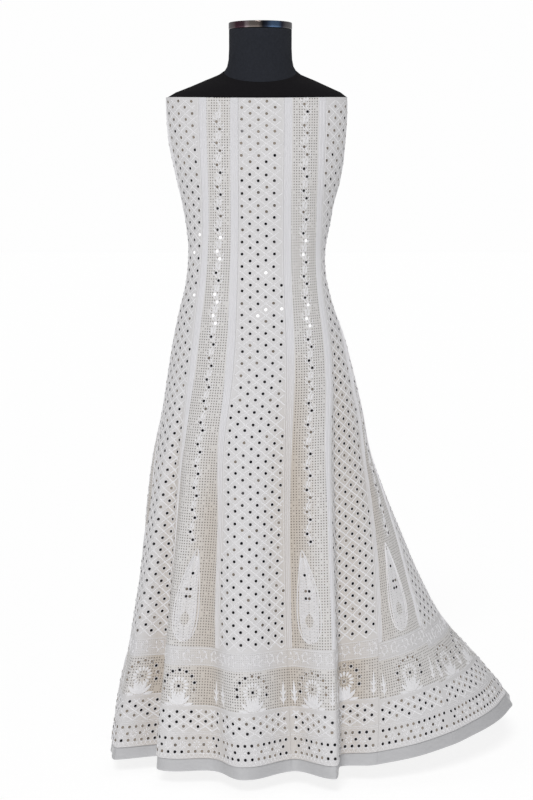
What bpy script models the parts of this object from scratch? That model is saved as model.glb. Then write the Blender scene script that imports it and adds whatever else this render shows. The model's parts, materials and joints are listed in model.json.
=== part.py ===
"""A floor-length anarkali gown of sixteen tapered panels, shown on a limbless dress form.

The front faces -Y and the floor is z = 0. The form's pole stands on the origin.
The gown is a tube with an open top edge and an open hem. Each panel runs from the
top edge to the hem, and a plain strip is sewn behind the hem of each one.
"""

import collections
import math

import bpy
import numpy as np

Table = collections.namedtuple("Table", ("columns", "rows"))

# Driving sizes of the gown, in metres.
TOP_EDGE = 1.288
HEM = 0.030
CLOTH_THICK = 0.0020
SEAM_GAP = 0.0003
TOP_EDGE_DIP = 0.0040
DIP_SHARE = 0.1
SWEEP_LIFT = 0.053
STRIP_SHOWS = 0.022
STRIP_OVERLAP = 0.012
STRIP_THICK = 0.0012
STRIP_GAP = 0.0006

# Driving sizes of the dress form and its stand, in metres.
FORM_SEGMENTS = 32
NECK_RADIUS = 0.0612
NECK_TOP = 1.4200
CAP_RADIUS = 0.0618
CAP_TOP = 1.4372
CAP_BAND = 0.0150
CAP_EDGE = 0.0012
CAP_CROWN_RADIUS = 0.0340
POLE_RADIUS = 0.0160
FLANGE_RADIUS = 0.0450
FLANGE_HUB_RADIUS = 0.0270
FLANGE_THICK = 0.0120
FLANGE_RIM = 0.0060
COLLAR_RADIUS = 0.0340
COLLAR_NECK_RADIUS = 0.0210
COLLAR_HEIGHT = 0.0500
COLLAR_RIM = 0.0060
COLLAR_BEVEL = 0.0015
BASE_RADIUS = 0.1700
BASE_THICK = 0.0100
BASE_BEVEL = 0.0025
BASE_SEGMENTS = 48
TOUCH_GAP = 0.0003

# The gown's outline without its folds: how far it reaches from the pole at each height.
OUTLINE = Table(
    ("height", "left", "right", "front", "back"),
    (
        (1.288, 0.185, 0.170, 0.088, 0.084),
        (1.240, 0.183, 0.169, 0.102, 0.095),
        (1.200, 0.179, 0.166, 0.114, 0.101),
        (1.160, 0.171, 0.162, 0.121, 0.101),
        (1.120, 0.162, 0.155, 0.121, 0.098),
        (1.080, 0.153, 0.144, 0.114, 0.093),
        (1.040, 0.146, 0.137, 0.106, 0.088),
        (1.000, 0.142, 0.129, 0.100, 0.086),
        (0.960, 0.143, 0.127, 0.098, 0.088),
        (0.920, 0.148, 0.132, 0.103, 0.097),
        (0.880, 0.158, 0.142, 0.114, 0.110),
        (0.820, 0.171, 0.163, 0.133, 0.131),
        (0.750, 0.183, 0.182, 0.156, 0.153),
        (0.660, 0.198, 0.204, 0.181, 0.175),
        (0.580, 0.213, 0.220, 0.203, 0.193),
        (0.490, 0.223, 0.252, 0.228, 0.213),
        (0.400, 0.230, 0.289, 0.252, 0.232),
        (0.300, 0.241, 0.332, 0.279, 0.251),
        (0.200, 0.254, 0.387, 0.306, 0.270),
        (0.120, 0.272, 0.455, 0.328, 0.285),
        (0.030, 0.284, 0.522, 0.353, 0.302),
    ),
)

# The width of each panel that the front shows, before it is folded. The others share the rest.
WIDTHS = Table(
    ("height", "left_2", "left_1", "centre", "right_1", "right_2", "right_3", "right_4"),
    (
        (1.288, 0.095, 0.078, 0.089, 0.085, 0.080, 0.045, 0.045),
        (0.960, 0.078, 0.081, 0.090, 0.091, 0.070, 0.033, 0.033),
        (0.750, 0.110, 0.098, 0.106, 0.095, 0.072, 0.045, 0.050),
        (0.620, 0.130, 0.099, 0.121, 0.087, 0.112, 0.057, 0.060),
        (0.490, 0.150, 0.109, 0.124, 0.084, 0.117, 0.087, 0.085),
        (0.300, 0.180, 0.126, 0.134, 0.082, 0.111, 0.119, 0.150),
        (0.030, 0.220, 0.159, 0.132, 0.078, 0.087, 0.173, 0.235),
    ),
)

# Where the middle of the centre panel hangs, to the right of the pole.
CENTRE_LINE = Table(
    ("height", "offset"),
    (
        (1.288, 0.002),
        (0.960, 0.001),
        (0.750, -0.001),
        (0.620, -0.011),
        (0.490, -0.013),
        (0.300, -0.015),
        (0.030, -0.005),
    ),
)

# Crests and troughs of the folds. The place counts panels to the right of the centre
# panel's middle, the depth is at the hem, and a fold dies away at its start height.
FOLDS = Table(
    ("place", "depth", "start"),
    (
        (-7.73, 0.026, 0.86),
        (-7.19, -0.030, 0.86),
        (-6.54, 0.030, 0.84),
        (-5.95, -0.024, 0.84),
        (-5.35, 0.028, 0.84),
        (-4.81, -0.028, 0.82),
        (-4.21, 0.022, 0.82),
        (-3.67, -0.026, 0.80),
        (-3.07, 0.016, 0.78),
        (-2.53, -0.018, 0.76),
        (-2.17, -0.008, 0.76),
        (-1.97, 0.044, 0.78),
        (-1.73, 0.061, 0.74),
        (-1.61, -0.026, 0.76),
        (-1.22, 0.034, 0.78),
        (-0.67, -0.016, 0.80),
        (-0.19, 0.026, 0.80),
        (0.55, -0.028, 0.86),
        (1.44, 0.041, 0.90),
        (1.77, -0.033, 0.90),
        (2.50, -0.011, 0.86),
        (2.98, -0.008, 0.80),
        (3.45, -0.012, 0.80),
        (3.82, -0.018, 0.78),
        (4.37, -0.018, 0.78),
        (4.72, -0.013, 0.78),
        (4.95, -0.015, 0.80),
        (5.74, 0.010, 0.82),
        (6.21, -0.034, 0.84),
        (6.75, 0.028, 0.84),
        (7.34, -0.024, 0.86),
        (7.83, 0.030, 0.86),
    ),
)
FOLD_GROWTH = 1.2
PANELS_AROUND = 16
BACK_PANEL = PANELS_AROUND // 2
FRONT_PANELS = dict(zip(range(-2, 5), WIDTHS.columns[1:]))

# Rows of points down a panel: close together where the outline curves most.
ROW_HEIGHTS = (1.288, 1.250, 1.215, 1.180, 1.145, 1.110, 1.065, 1.015, 0.960, 0.900, 0.830, 0.740,
               0.630, 0.510, 0.390, 0.280, 0.190, 0.115, 0.064, 0.052)
WIDEST_COLUMN = 0.16
CLOSEST_COLUMN = 0.06
STEEPEST_COLUMN = 0.022
ARC_SAMPLES = 1441

# The dress form's body: half its width, how far its middle stands to the right of the
# pole, its reach to the front and back, and its tilt (how far a ring climbs from front
# to back, for each metre). Inside the gown it also keeps FORM_CLEARANCE from the cloth,
# so a reach of TO_CLOTH means that the cloth rests there.
FORM_CLEARANCE = 0.0005
TO_CLOTH = 1.0
BODY = Table(
    ("height", "half_width", "shift", "front", "back", "tilt"),
    (
        (0.800, 0.1440, -0.003, 0.1120, 0.1180, 0.0),
        (0.806, 0.1500, -0.003, 0.1180, 0.1240, 0.0),
        (0.840, 0.1460, -0.003, 0.1160, 0.1200, 0.0),
        (0.880, 0.1320, -0.003, 0.1070, 0.1050, 0.0),
        (0.920, 0.1220, -0.003, 0.0960, 0.0920, 0.0),
        (0.960, 0.1150, -0.003, 0.0900, 0.0830, 0.0),
        (1.015, 0.1190, -0.003, 0.0930, 0.0820, 0.0),
        (1.065, 0.1310, -0.004, 0.1050, 0.0870, 0.0),
        (1.110, 0.1420, -0.004, TO_CLOTH, 0.0940, 0.0),
        (1.145, 0.1510, -0.005, TO_CLOTH, TO_CLOTH, 0.0),
        (1.180, 0.1580, -0.006, TO_CLOTH, TO_CLOTH, 0.0),
        (1.215, 0.1630, -0.006, TO_CLOTH, TO_CLOTH, 0.0),
        (1.250, 0.1690, -0.006, TO_CLOTH, TO_CLOTH, 0.0),
        (1.288, 0.1730, -0.006, 0.0835, 0.0795, 0.0),
        (1.298, 0.1560, -0.005, 0.0805, 0.0775, 0.02),
        (1.309, 0.1310, -0.003, 0.0780, 0.0755, 0.06),
        (1.320, 0.1060, -0.002, 0.0755, 0.0735, 0.13),
        (1.330, 0.0830, -0.001, 0.0730, 0.0710, 0.20),
        (1.337, 0.0705, 0.0, 0.0700, 0.0685, 0.25),
    ),
)
NECK = Table(
    BODY.columns,
    (
        (1.337, 0.0705, 0.0, 0.0700, 0.0685, 0.25),
        (1.347, 0.0650, 0.0, 0.0650, 0.0645, 0.20),
        (1.361, 0.0622, 0.0, 0.0622, 0.0622, 0.10),
        (1.383, 0.0612, 0.0, 0.0612, 0.0612, 0.0),
    ),
)


def smooth_read(table, column, height):
    """The table's column at each height, on one smooth curve through the rows."""
    rows = sorted(table.rows)
    known = np.array([row[0] for row in rows])
    values = np.array([row[table.columns.index(column)] for row in rows])
    slopes = np.gradient(values, known)
    height = np.clip(height, known[0], known[-1])
    low = np.clip(np.searchsorted(known, height) - 1, 0, len(known) - 2)
    step = known[low + 1] - known[low]
    t = (height - known[low]) / step
    rise = t * t * (3 - 2 * t)
    start_bend = t * (1 - t) ** 2 * step
    end_bend = t * t * (t - 1) * step
    return (
        values[low] * (1 - rise)
        + values[low + 1] * rise
        + slopes[low] * start_bend
        + slopes[low + 1] * end_bend
    )


def outline_point(turn, height):
    """A point of the unfolded gown. The turn is 0 at the front and a quarter turn at the right."""
    left, right, front, back = (smooth_read(OUTLINE, column, height) for column in OUTLINE.columns[1:])
    side = np.where(np.sin(turn) > 0, right, left)
    depth = np.where(np.cos(turn) > 0, front, back)
    return side * np.sin(turn), -depth * np.cos(turn)


def seam_places(height, around):
    """The distance round the gown from the centre panel's middle to each seam, at one height."""
    widths = {panel: smooth_read(WIDTHS, column, height) for panel, column in FRONT_PANELS.items()}
    hidden = (around - sum(widths.values())) / (PANELS_AROUND - len(widths))
    half_centre = widths[0] / 2
    right = [half_centre]
    left = [-half_centre]
    for step in range(1, BACK_PANEL + 2):
        right.append(right[-1] + widths.get(step, hidden))
        left.append(left[-1] - widths.get(-step, hidden))
    return np.array(left[::-1] + right)


def turns_of_places(places, height):
    """The turn on the outline of each place, which counts panels from the centre panel's middle."""
    turn = np.linspace(-math.pi, math.pi, ARC_SAMPLES)
    x, y = outline_point(turn, height)
    run = np.concatenate([[0.0], np.cumsum(np.hypot(np.diff(x), np.diff(y)))])
    around = run[-1]
    offset = smooth_read(CENTRE_LINE, "offset", height)
    front = slice(ARC_SAMPLES // 4, 3 * ARC_SAMPLES // 4)
    middle = np.interp(offset, x[front], run[front])
    seams = seam_places(height, around)
    seam_numbers = np.arange(len(seams)) - len(seams) / 2 + 0.5
    distance = middle + np.interp(places, seam_numbers, seams)
    return np.interp(np.mod(distance, around), run, turn)


def fold_table():
    """The place, depth and start of every fold, repeated once to each side of the full turn."""
    folds = np.array(FOLDS.rows)
    turn = np.array([PANELS_AROUND, 0, 0])
    return np.concatenate([folds - turn, folds, folds + turn]).T


def fold_depth(places, height):
    """How far the folds push the cloth out, at each place and at one height."""
    known, depths, starts = fold_table()
    growth = np.clip((starts - height) / (starts - HEM), 0.0, None)
    depths = depths * growth ** FOLD_GROWTH
    low = np.clip(np.searchsorted(known, places) - 1, 0, len(known) - 2)
    t = (places - known[low]) / (known[low + 1] - known[low])
    ease = 0.5 - 0.5 * np.cos(math.pi * t)
    return depths[low] * (1 - ease) + depths[low + 1] * ease


def cloth_row(places, height):
    """Points of the gown's outer side at one height of the outline, as an array of x, y, z."""
    places = np.asarray(places, float)
    turn = turns_of_places(places, height)
    x, y = outline_point(turn, height)
    small = 0.002
    x_next, y_next = outline_point(turn + small, height)
    x_last, y_last = outline_point(turn - small, height)
    along = np.stack([x_next - x_last, y_next - y_last], -1)
    along /= np.linalg.norm(along, axis=-1, keepdims=True)
    push = fold_depth(places, height)
    share = (TOP_EDGE - height) / (TOP_EDGE - HEM)
    lift = SWEEP_LIFT * np.where(np.sin(turn) > 0, np.sin(turn), 0.0) ** 2 * share ** 2
    dip = TOP_EDGE_DIP * np.clip(np.cos(turn), 0.0, 1.0) ** 2 * max(0.0, 1 - share / DIP_SHARE)
    return np.stack([x + along[:, 1] * push, y - along[:, 0] * push, height + lift - dip], -1)


def cloth_rows(places, heights):
    """A grid of outer points and of their outward normals, one row for each height."""
    small_place, small_height = 0.01, 0.001
    points = np.stack([cloth_row(places, h) for h in heights])
    right = np.stack([cloth_row(places + small_place, h) for h in heights])
    left = np.stack([cloth_row(places - small_place, h) for h in heights])
    above = np.stack([cloth_row(places, h + small_height) for h in heights])
    below = np.stack([cloth_row(places, h - small_height) for h in heights])
    normals = np.cross(right - left, above - below)
    normals /= np.linalg.norm(normals, axis=-1, keepdims=True)
    return points, normals


def finish_material(name, colour, roughness, metallic=0.0):
    """A Principled material, made once for each name."""
    material = bpy.data.materials.get(name)
    if material is None:
        material = bpy.data.materials.new(name)
        material.use_nodes = True
        shader = material.node_tree.nodes["Principled BSDF"]
        shader.inputs["Base Color"].default_value = (*colour, 1.0)
        shader.inputs["Roughness"].default_value = roughness
        shader.inputs["Metallic"].default_value = metallic
    return material


def new_object(name, points, faces, material, parent):
    """An object from points and faces, smooth where it is round, under the given empty."""
    mesh = bpy.data.meshes.new(name)
    mesh.from_pydata([tuple(p) for p in points], [], faces)
    mesh.materials.append(material)
    mesh.shade_smooth()
    mesh.set_sharp_from_angle(angle=math.radians(40))
    thing = bpy.data.objects.new(name, mesh)
    thing.parent = parent
    bpy.context.scene.collection.objects.link(thing)
    return thing


def cloth_wall(name, outer, inner, material, parent):
    """A closed wall of cloth between two grids of points."""
    rows, columns = outer.shape[:2]
    count = rows * columns

    def at(row, column, side):
        return side * count + row * columns + column

    faces = []
    for row in range(rows - 1):
        for column in range(columns - 1):
            corners = ((row, column), (row + 1, column), (row + 1, column + 1), (row, column + 1))
            faces.append([at(r, c, 0) for r, c in corners])
            faces.append([at(r, c, 1) for r, c in reversed(corners)])
    edge = [(0, c) for c in range(columns)]
    edge += [(r, columns - 1) for r in range(1, rows)]
    edge += [(rows - 1, c) for c in range(columns - 2, -1, -1)]
    edge += [(r, 0) for r in range(rows - 2, 0, -1)]
    for here, there in zip(edge, edge[1:] + edge[:1]):
        # Two walls that meet at a seam split its narrow faces along the same diagonal.
        if there[0] >= here[0]:
            faces.append([at(*here, 0), at(*there, 0), at(*there, 1)])
            faces.append([at(*here, 0), at(*there, 1), at(*here, 1)])
        else:
            faces.append([at(*here, 0), at(*there, 0), at(*here, 1)])
            faces.append([at(*there, 0), at(*there, 1), at(*here, 1)])
    points = np.concatenate([outer.reshape(-1, 3), inner.reshape(-1, 3)])
    return new_object(name, points, faces, material, parent)


def panel_places(panel):
    """The places of a panel's columns: one on each crest and trough, and some between."""
    stops = [panel - 0.5]
    stops += [place for place in fold_table()[0] if abs(place - panel) < 0.5 - CLOSEST_COLUMN]
    stops.append(panel + 0.5)
    depths = fold_depth(np.array(stops), HEM)
    places = [stops[0]]
    for start, end, climb in zip(stops, stops[1:], np.abs(np.diff(depths))):
        count = max(2, math.ceil((end - start) / WIDEST_COLUMN), math.ceil(climb / STEEPEST_COLUMN))
        places.extend(start + (end - start) * step / count for step in range(1, count + 1))
    return np.array(places)


def panel_name(panel):
    if panel == 0:
        return "centre"
    if panel == BACK_PANEL:
        return "back"
    return ("right_" if panel > 0 else "left_") + str(abs(panel))


def open_seams(points, gap):
    """Draws a grid's first and last columns in, so that the panels stay apart at a seam."""
    drawn = points.copy()
    for edge, inside in ((0, 1), (-1, -2)):
        along = points[:, inside] - points[:, edge]
        along /= np.linalg.norm(along, axis=-1, keepdims=True)
        drawn[:, edge] += along * gap / 2
    return drawn


def make_panel(panel, parent):
    """One tapered panel, from the top edge to just above the hem."""
    outer, normals = cloth_rows(panel_places(panel), ROW_HEIGHTS)
    inner = outer - normals * CLOTH_THICK
    kind = "lattice_cloth" if panel % 2 == 0 else "dotted_cloth"
    colour = (0.80, 0.79, 0.80) if panel % 2 == 0 else (0.78, 0.75, 0.71)
    material = finish_material(kind, colour, 0.75)
    return cloth_wall("panel_" + panel_name(panel), open_seams(outer, SEAM_GAP),
                      open_seams(inner, SEAM_GAP), material, parent)


def make_hem_strip(panel, parent):
    """The plain strip behind a panel's hem, which shows below the panel."""
    heights = (HEM + STRIP_SHOWS + STRIP_OVERLAP, HEM + STRIP_SHOWS, HEM)
    outer, normals = cloth_rows(panel_places(panel), heights)
    outer = outer - normals * (CLOTH_THICK + STRIP_GAP)
    inner = outer - normals * STRIP_THICK
    material = finish_material("hem_strip_cloth", (0.60, 0.60, 0.60), 0.60)
    return cloth_wall("hem_strip_" + panel_name(panel), open_seams(outer, SEAM_GAP),
                      open_seams(inner, SEAM_GAP), material, parent)


def ring_points(row):
    """One ring of the dress form, with separate reaches to the front and back."""
    height, half_width, shift, front, back, tilt = row
    if height <= TOP_EDGE:
        wall = CLOTH_THICK + FORM_CLEARANCE
        dipped = min(height + TOP_EDGE_DIP, TOP_EDGE)
        front = min(front, smooth_read(OUTLINE, "front", height) - wall)
        front = min(front, smooth_read(OUTLINE, "front", dipped) - wall)
        back = min(back, smooth_read(OUTLINE, "back", height) - wall)
    turn = np.arange(FORM_SEGMENTS) * 2 * math.pi / FORM_SEGMENTS
    depth = np.where(np.cos(turn) > 0, front, back)
    y = -depth * np.cos(turn)
    return np.stack([shift + half_width * np.sin(turn), y, height + tilt * y], -1)


def loft(name, rings, material, parent):
    """A closed solid through rings, listed from the lowest to the highest."""
    segments = len(rings[0])
    faces = [list(range(segments))[::-1]]
    for ring in range(len(rings) - 1):
        low, high = ring * segments, (ring + 1) * segments
        for step in range(segments):
            after = (step + 1) % segments
            faces.append([low + step, low + after, high + after, high + step])
    faces.append([(len(rings) - 1) * segments + step for step in range(segments)])
    return new_object(name, np.concatenate(rings), faces, material, parent)


def circle(radius, height, segments=FORM_SEGMENTS):
    turn = np.arange(segments) * 2 * math.pi / segments
    return np.stack([radius * np.sin(turn), -radius * np.cos(turn), np.full(segments, height)], -1)


def make_form(parent):
    """The covered body, neck and cap of the dress form."""
    cover = finish_material("form_cover", (0.012, 0.012, 0.014), 0.85)
    neck_cover = finish_material("neck_cover", (0.022, 0.026, 0.036), 0.80)
    cap_metal = finish_material("cap_metal", (0.20, 0.19, 0.20), 0.22, 1.0)
    loft("form_body", [ring_points(row) for row in BODY.rows], cover, parent)
    neck_rings = [ring_points(row) + np.array([0.0, 0.0, TOUCH_GAP]) for row in NECK.rows]
    neck_rings.append(circle(NECK_RADIUS, NECK_TOP))
    loft("form_neck", neck_rings, neck_cover, parent)
    cap_bottom = NECK_TOP + TOUCH_GAP
    cap_rings = [
        circle(CAP_RADIUS - CAP_EDGE, cap_bottom),
        circle(CAP_RADIUS, cap_bottom + CAP_EDGE),
        circle(CAP_RADIUS, cap_bottom + CAP_BAND - CAP_EDGE),
        circle(CAP_RADIUS - CAP_EDGE, cap_bottom + CAP_BAND),
        circle(CAP_CROWN_RADIUS, CAP_TOP),
    ]
    loft("neck_cap", cap_rings, cap_metal, parent)


def make_stand(parent):
    """The flange under the body, the pole, and the round base that the whole part stands on."""
    steel = finish_material("stand_steel", (0.55, 0.55, 0.56), 0.30, 1.0)
    painted = finish_material("base_paint", (0.03, 0.03, 0.03), 0.45)
    flange_top = BODY.rows[0][0] - TOUCH_GAP
    flange_bottom = flange_top - FLANGE_THICK
    flange_rings = [
        circle(FLANGE_HUB_RADIUS, flange_bottom),
        circle(FLANGE_RADIUS, flange_top - FLANGE_RIM),
        circle(FLANGE_RADIUS, flange_top),
    ]
    loft("body_flange", flange_rings, painted, parent)
    collar_bottom = BASE_THICK + TOUCH_GAP
    collar_top = collar_bottom + COLLAR_HEIGHT
    collar_rings = [
        circle(COLLAR_RADIUS, collar_bottom),
        circle(COLLAR_RADIUS, collar_bottom + COLLAR_RIM),
        circle(COLLAR_NECK_RADIUS, collar_top - COLLAR_BEVEL),
        circle(COLLAR_NECK_RADIUS - COLLAR_BEVEL, collar_top),
    ]
    loft("base_collar", collar_rings, painted, parent)
    pole_rings = [
        circle(POLE_RADIUS, collar_top + TOUCH_GAP),
        circle(POLE_RADIUS, flange_bottom - TOUCH_GAP),
    ]
    loft("stand_pole", pole_rings, steel, parent)
    base_rings = [
        circle(BASE_RADIUS, 0.0, BASE_SEGMENTS),
        circle(BASE_RADIUS, BASE_THICK - BASE_BEVEL, BASE_SEGMENTS),
        circle(BASE_RADIUS - BASE_BEVEL, BASE_THICK, BASE_SEGMENTS),
    ]
    loft("stand_base", base_rings, painted, parent)


def main():
    for thing in list(bpy.data.objects):
        bpy.data.objects.remove(thing)
    gown = bpy.data.objects.new("gown", None)
    form = bpy.data.objects.new("dress_form", None)
    for empty in (gown, form):
        bpy.context.scene.collection.objects.link(empty)
    for panel in range(BACK_PANEL - PANELS_AROUND + 1, BACK_PANEL + 1):
        make_panel(panel, gown)
        make_hem_strip(panel, gown)
    make_form(form)
    make_stand(form)


main()
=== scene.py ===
# %% [markdown]
# # An anarkali gown on its dress form
# This file dresses a frame: plain solids of a sixteen-panel gown, its dress form and stand.
# Each step below says what a piece or finish is on the real object, how it could be made in Blender,
# and why it is made this way here.

# %% Load the frame
import collections
import json
import math

import bpy
import numpy as np
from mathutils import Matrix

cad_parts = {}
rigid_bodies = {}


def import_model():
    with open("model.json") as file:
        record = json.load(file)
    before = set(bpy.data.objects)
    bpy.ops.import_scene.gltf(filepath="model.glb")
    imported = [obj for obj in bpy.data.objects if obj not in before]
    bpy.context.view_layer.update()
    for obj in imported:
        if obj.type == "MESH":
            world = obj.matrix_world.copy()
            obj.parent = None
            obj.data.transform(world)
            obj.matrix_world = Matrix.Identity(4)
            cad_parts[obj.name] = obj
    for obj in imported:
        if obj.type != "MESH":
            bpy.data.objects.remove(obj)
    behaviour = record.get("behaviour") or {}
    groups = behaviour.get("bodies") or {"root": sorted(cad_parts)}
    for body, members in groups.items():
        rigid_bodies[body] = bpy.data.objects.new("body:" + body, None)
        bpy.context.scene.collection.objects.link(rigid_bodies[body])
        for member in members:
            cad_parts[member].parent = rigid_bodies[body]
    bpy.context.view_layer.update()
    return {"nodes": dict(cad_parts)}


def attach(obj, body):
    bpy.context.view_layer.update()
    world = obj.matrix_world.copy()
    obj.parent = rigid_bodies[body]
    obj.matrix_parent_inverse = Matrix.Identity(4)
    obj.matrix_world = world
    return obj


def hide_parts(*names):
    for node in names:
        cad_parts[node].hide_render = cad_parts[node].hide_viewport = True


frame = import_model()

MM = 0.001
print("nodes in the frame:", len(frame["nodes"]))

# %% [markdown]
# ## The camera
# The gown fills the picture from the neck to the hem, a little above eye level to the waist. The lens
# was found by matching known heights on the form to the picture, so it is kept as a focal length in
# pixels and turned into millimetres of a 36 mm sensor.

# %% Camera
PICTURE_TALL = 800
FOCAL_PIXELS = 2023.0
SENSOR = 36.0
CAMERA_PLACE = (0.012, -4.0, 1.116)
CAMERA_PITCH = math.radians(6.04)

lens = bpy.data.cameras.new("camera")
lens.sensor_width = SENSOR
lens.lens = FOCAL_PIXELS * SENSOR / PICTURE_TALL
camera = bpy.data.objects.new("camera", lens)
camera.location = CAMERA_PLACE
camera.rotation_euler = (math.pi / 2 - CAMERA_PITCH, 0.0, 0.0)
bpy.context.scene.collection.objects.link(camera)
bpy.context.scene.camera = camera
print("lens:", round(lens.lens, 2), "mm")

# %% [markdown]
# ## Light and sky
# A white gown needs light that shows its folds without burning out: a broad, soft key from the front
# left, and an even white surround. A sun with a wide disc is a soft box that lights the floor evenly,
# so no edge of light shows on it. The surround looks white but gives less light than it shows,
# or it would wash the folds out.

# %% Light and sky
KEY_TURN, KEY_RISE, KEY_STRENGTH, KEY_SPREAD = -8.0, 42.0, 1.70, 20.0
FILL_LIGHT, SKY_SHOWN = 0.30, 0.99

scene = bpy.context.scene
scene.view_settings.view_transform = "Standard"
key_light = bpy.data.lights.new("key_light", "SUN")
key_light.energy = KEY_STRENGTH
key_light.angle = math.radians(KEY_SPREAD)
key = bpy.data.objects.new("key_light", key_light)
key.rotation_euler = (math.radians(90 - KEY_RISE), 0.0, math.radians(KEY_TURN))
scene.collection.objects.link(key)

sky = bpy.data.worlds.new("sky")
sky.use_nodes = True
scene.world = sky
sky_nodes, sky_links = sky.node_tree.nodes, sky.node_tree.links
background = sky_nodes["Background"]
ray = sky_nodes.new("ShaderNodeLightPath")
level = sky_nodes.new("ShaderNodeMix")
level.inputs["A"].default_value = FILL_LIGHT
level.inputs["B"].default_value = SKY_SHOWN
sky_links.new(ray.outputs["Is Camera Ray"], level.inputs["Factor"])
sky_links.new(level.outputs["Result"], background.inputs["Strength"])
background.inputs["Color"].default_value = (1.0, 1.0, 1.0, 1.0)
print("key light at", KEY_TURN, "degrees round and", KEY_RISE, "up")

# %% [markdown]
# ## Finishes as sums
# A finish is a small program of nodes. Wiring those by hand is slow to read, so a Wire wraps one
# socket and lets Python's own signs make the Math nodes: `1 - mask` or `across / pitch`.

# %% A wire that takes part in sums
class Wire:
    """One output of a node."""

    def __init__(self, finish, socket):
        self.finish, self.socket = finish, socket

    def __add__(self, other):
        return self.finish.maths("ADD", self, other)

    def __sub__(self, other):
        return self.finish.maths("SUBTRACT", self, other)

    def __rsub__(self, other):
        return self.finish.maths("SUBTRACT", other, self)

    def __mul__(self, other):
        return self.finish.maths("MULTIPLY", self, other)

    def __truediv__(self, other):
        return self.finish.maths("DIVIDE", self, other)

    def __rtruediv__(self, other):
        return self.finish.maths("DIVIDE", other, self)

    __radd__ = __add__
    __rmul__ = __mul__


print("signs that make Math nodes: + - * /")

# %% [markdown]
# A Finish is one material. Its other nodes, such as a texture or a colour mix, come from one method,
# `node`, which takes a node's type, its settings and what goes into its sockets. The short methods
# below it name the sums and textures that most finishes here share.

# %% A finish under construction
SOFT_EDGE = 0.6 * MM


class Finish:
    """One material, and the shader that its nodes feed."""

    def __init__(self, name, constants):
        self.material = bpy.data.materials.new(name)
        self.material.use_nodes = True
        self.tree = self.material.node_tree
        self.shader = self.tree.nodes["Principled BSDF"]
        for socket, value in constants.items():
            self.shader.inputs[socket].default_value = value

    def node(self, kind, settings=None, inputs=None, output=0):
        """Adds a node: its settings are set first, then its sockets are given values or wires."""
        made = self.tree.nodes.new("ShaderNode" + kind)
        for setting, value in (settings or {}).items():
            if setting == "stops":
                while len(made.color_ramp.elements) < len(value):
                    made.color_ramp.elements.new(0.5)
                for stop, (place, colour) in zip(made.color_ramp.elements, value):
                    stop.position, stop.color = place, colour
            else:
                setattr(made, setting, value)
        for socket, value in (inputs or {}).items():
            self.feed(made.inputs[socket], value)
        return Wire(self, made.outputs[output])

    def feed(self, socket, value):
        if isinstance(value, Wire):
            self.tree.links.new(value.socket, socket)
        else:
            socket.default_value = value

    def wear(self, **sockets):
        """Feeds what changes over the surface into the shader, as in wear(Roughness=wire)."""
        for socket, value in sockets.items():
            self.feed(self.shader.inputs[socket.replace("_", " ")], value)
        return self.material

    def maths(self, operation, *values):
        return self.node("Math", {"operation": operation}, dict(enumerate(values)))

    def mask(self, value):
        """Holds a value between 0 and 1."""
        return self.node("Clamp", {}, {"Value": value})

    def past(self, value, level, soft=SOFT_EDGE):
        """A mask that rises from 0 to 1 where a value passes a level."""
        return self.mask((value - level) / soft)

    def between(self, value, low, high, soft=SOFT_EDGE):
        return self.past(value, low, soft) * self.past(high, value, soft)

    def waves(self, value, pitch):
        return self.maths("SINE", value * (2 * math.pi / pitch))

    def noise(self, place, scale, detail=2.0):
        return self.node("TexNoise", {}, {"Vector": place, "Scale": scale, "Detail": detail})

    def colour_mix(self, share, first, second):
        return self.node("Mix", {"data_type": "RGBA"}, {"Factor": share, 6: first, 7: second}, 2)

    def split(self, vector):
        """The x, y and z of a vector, as three wires."""
        x = self.node("SeparateXYZ", {}, {0: vector})
        return [Wire(self, output) for output in x.socket.node.outputs]

    def join(self, x, y):
        return self.node("CombineXYZ", {}, {0: x, 1: y})

    def cloth_place(self):
        """How far a point lies across and up its flat cloth, in metres, from the UV map."""
        return self.split(self.node("UVMap", {"uv_map": "cloth"}))[:2]

    def object_place(self):
        return self.node("TexCoord", output="Object")

    def attribute(self, name):
        return self.node("Attribute", {"attribute_name": name}, output="Fac")

    def bump(self, height, distance, under=None):
        inputs = {"Height": height, "Distance": distance}
        if under is not None:
            inputs["Normal"] = under
        return self.node("Bump", {}, inputs)


def rgb(red, green, blue):
    return (red, green, blue, 1.0)


print("soft edges of masks:", round(SOFT_EDGE / MM, 2), "mm")

# %% [markdown]
# ## The floor
# A photographer's floor is a wide pale sweep of paper. A flat plane is enough, since the surround is
# as pale as it is. Its faint glow stands in for light that paper scatters from outside the picture,
# and a soft shade still gathers under the hem.

# %% Floor
FLOOR_REACH, FLOOR_GLOW = 60.0, 0.825
PAPER_COLOUR, PAPER_SHADE = rgb(0.24, 0.24, 0.24), rgb(0.20, 0.20, 0.20)

bpy.ops.mesh.primitive_plane_add(size=FLOOR_REACH)
floor = bpy.context.object
floor.name = "floor"
paper = Finish("floor_paper", {"Roughness": 0.9, "Specular IOR Level": 0.2,
                               "Emission Color": rgb(1.0, 1.0, 1.0), "Emission Strength": FLOOR_GLOW})
paper_grain = paper.noise(paper.object_place(), 30.0, 3.0)
paper.wear(Base_Color=paper.colour_mix(paper_grain * 0.06, PAPER_COLOUR, PAPER_SHADE))
floor.data.materials.append(paper.material)
print("floor:", FLOOR_REACH, "m across")

# %% [markdown]
# ## The gown's shape, from a few tables
# Sixteen tapered panels make one tube that is narrow at the waist and wide at the hem. Its shape is
# worked out here from the same driving sizes as the frame's solids, but with far more points.
# A row of OUTLINE says how far the unfolded cloth reaches to each side, WIDTHS how wide the panels
# are that the front shows, and FOLDS where the crests and troughs hang.

# %% Tables of the gown
Table = collections.namedtuple("Table", ("columns", "rows"))

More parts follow.
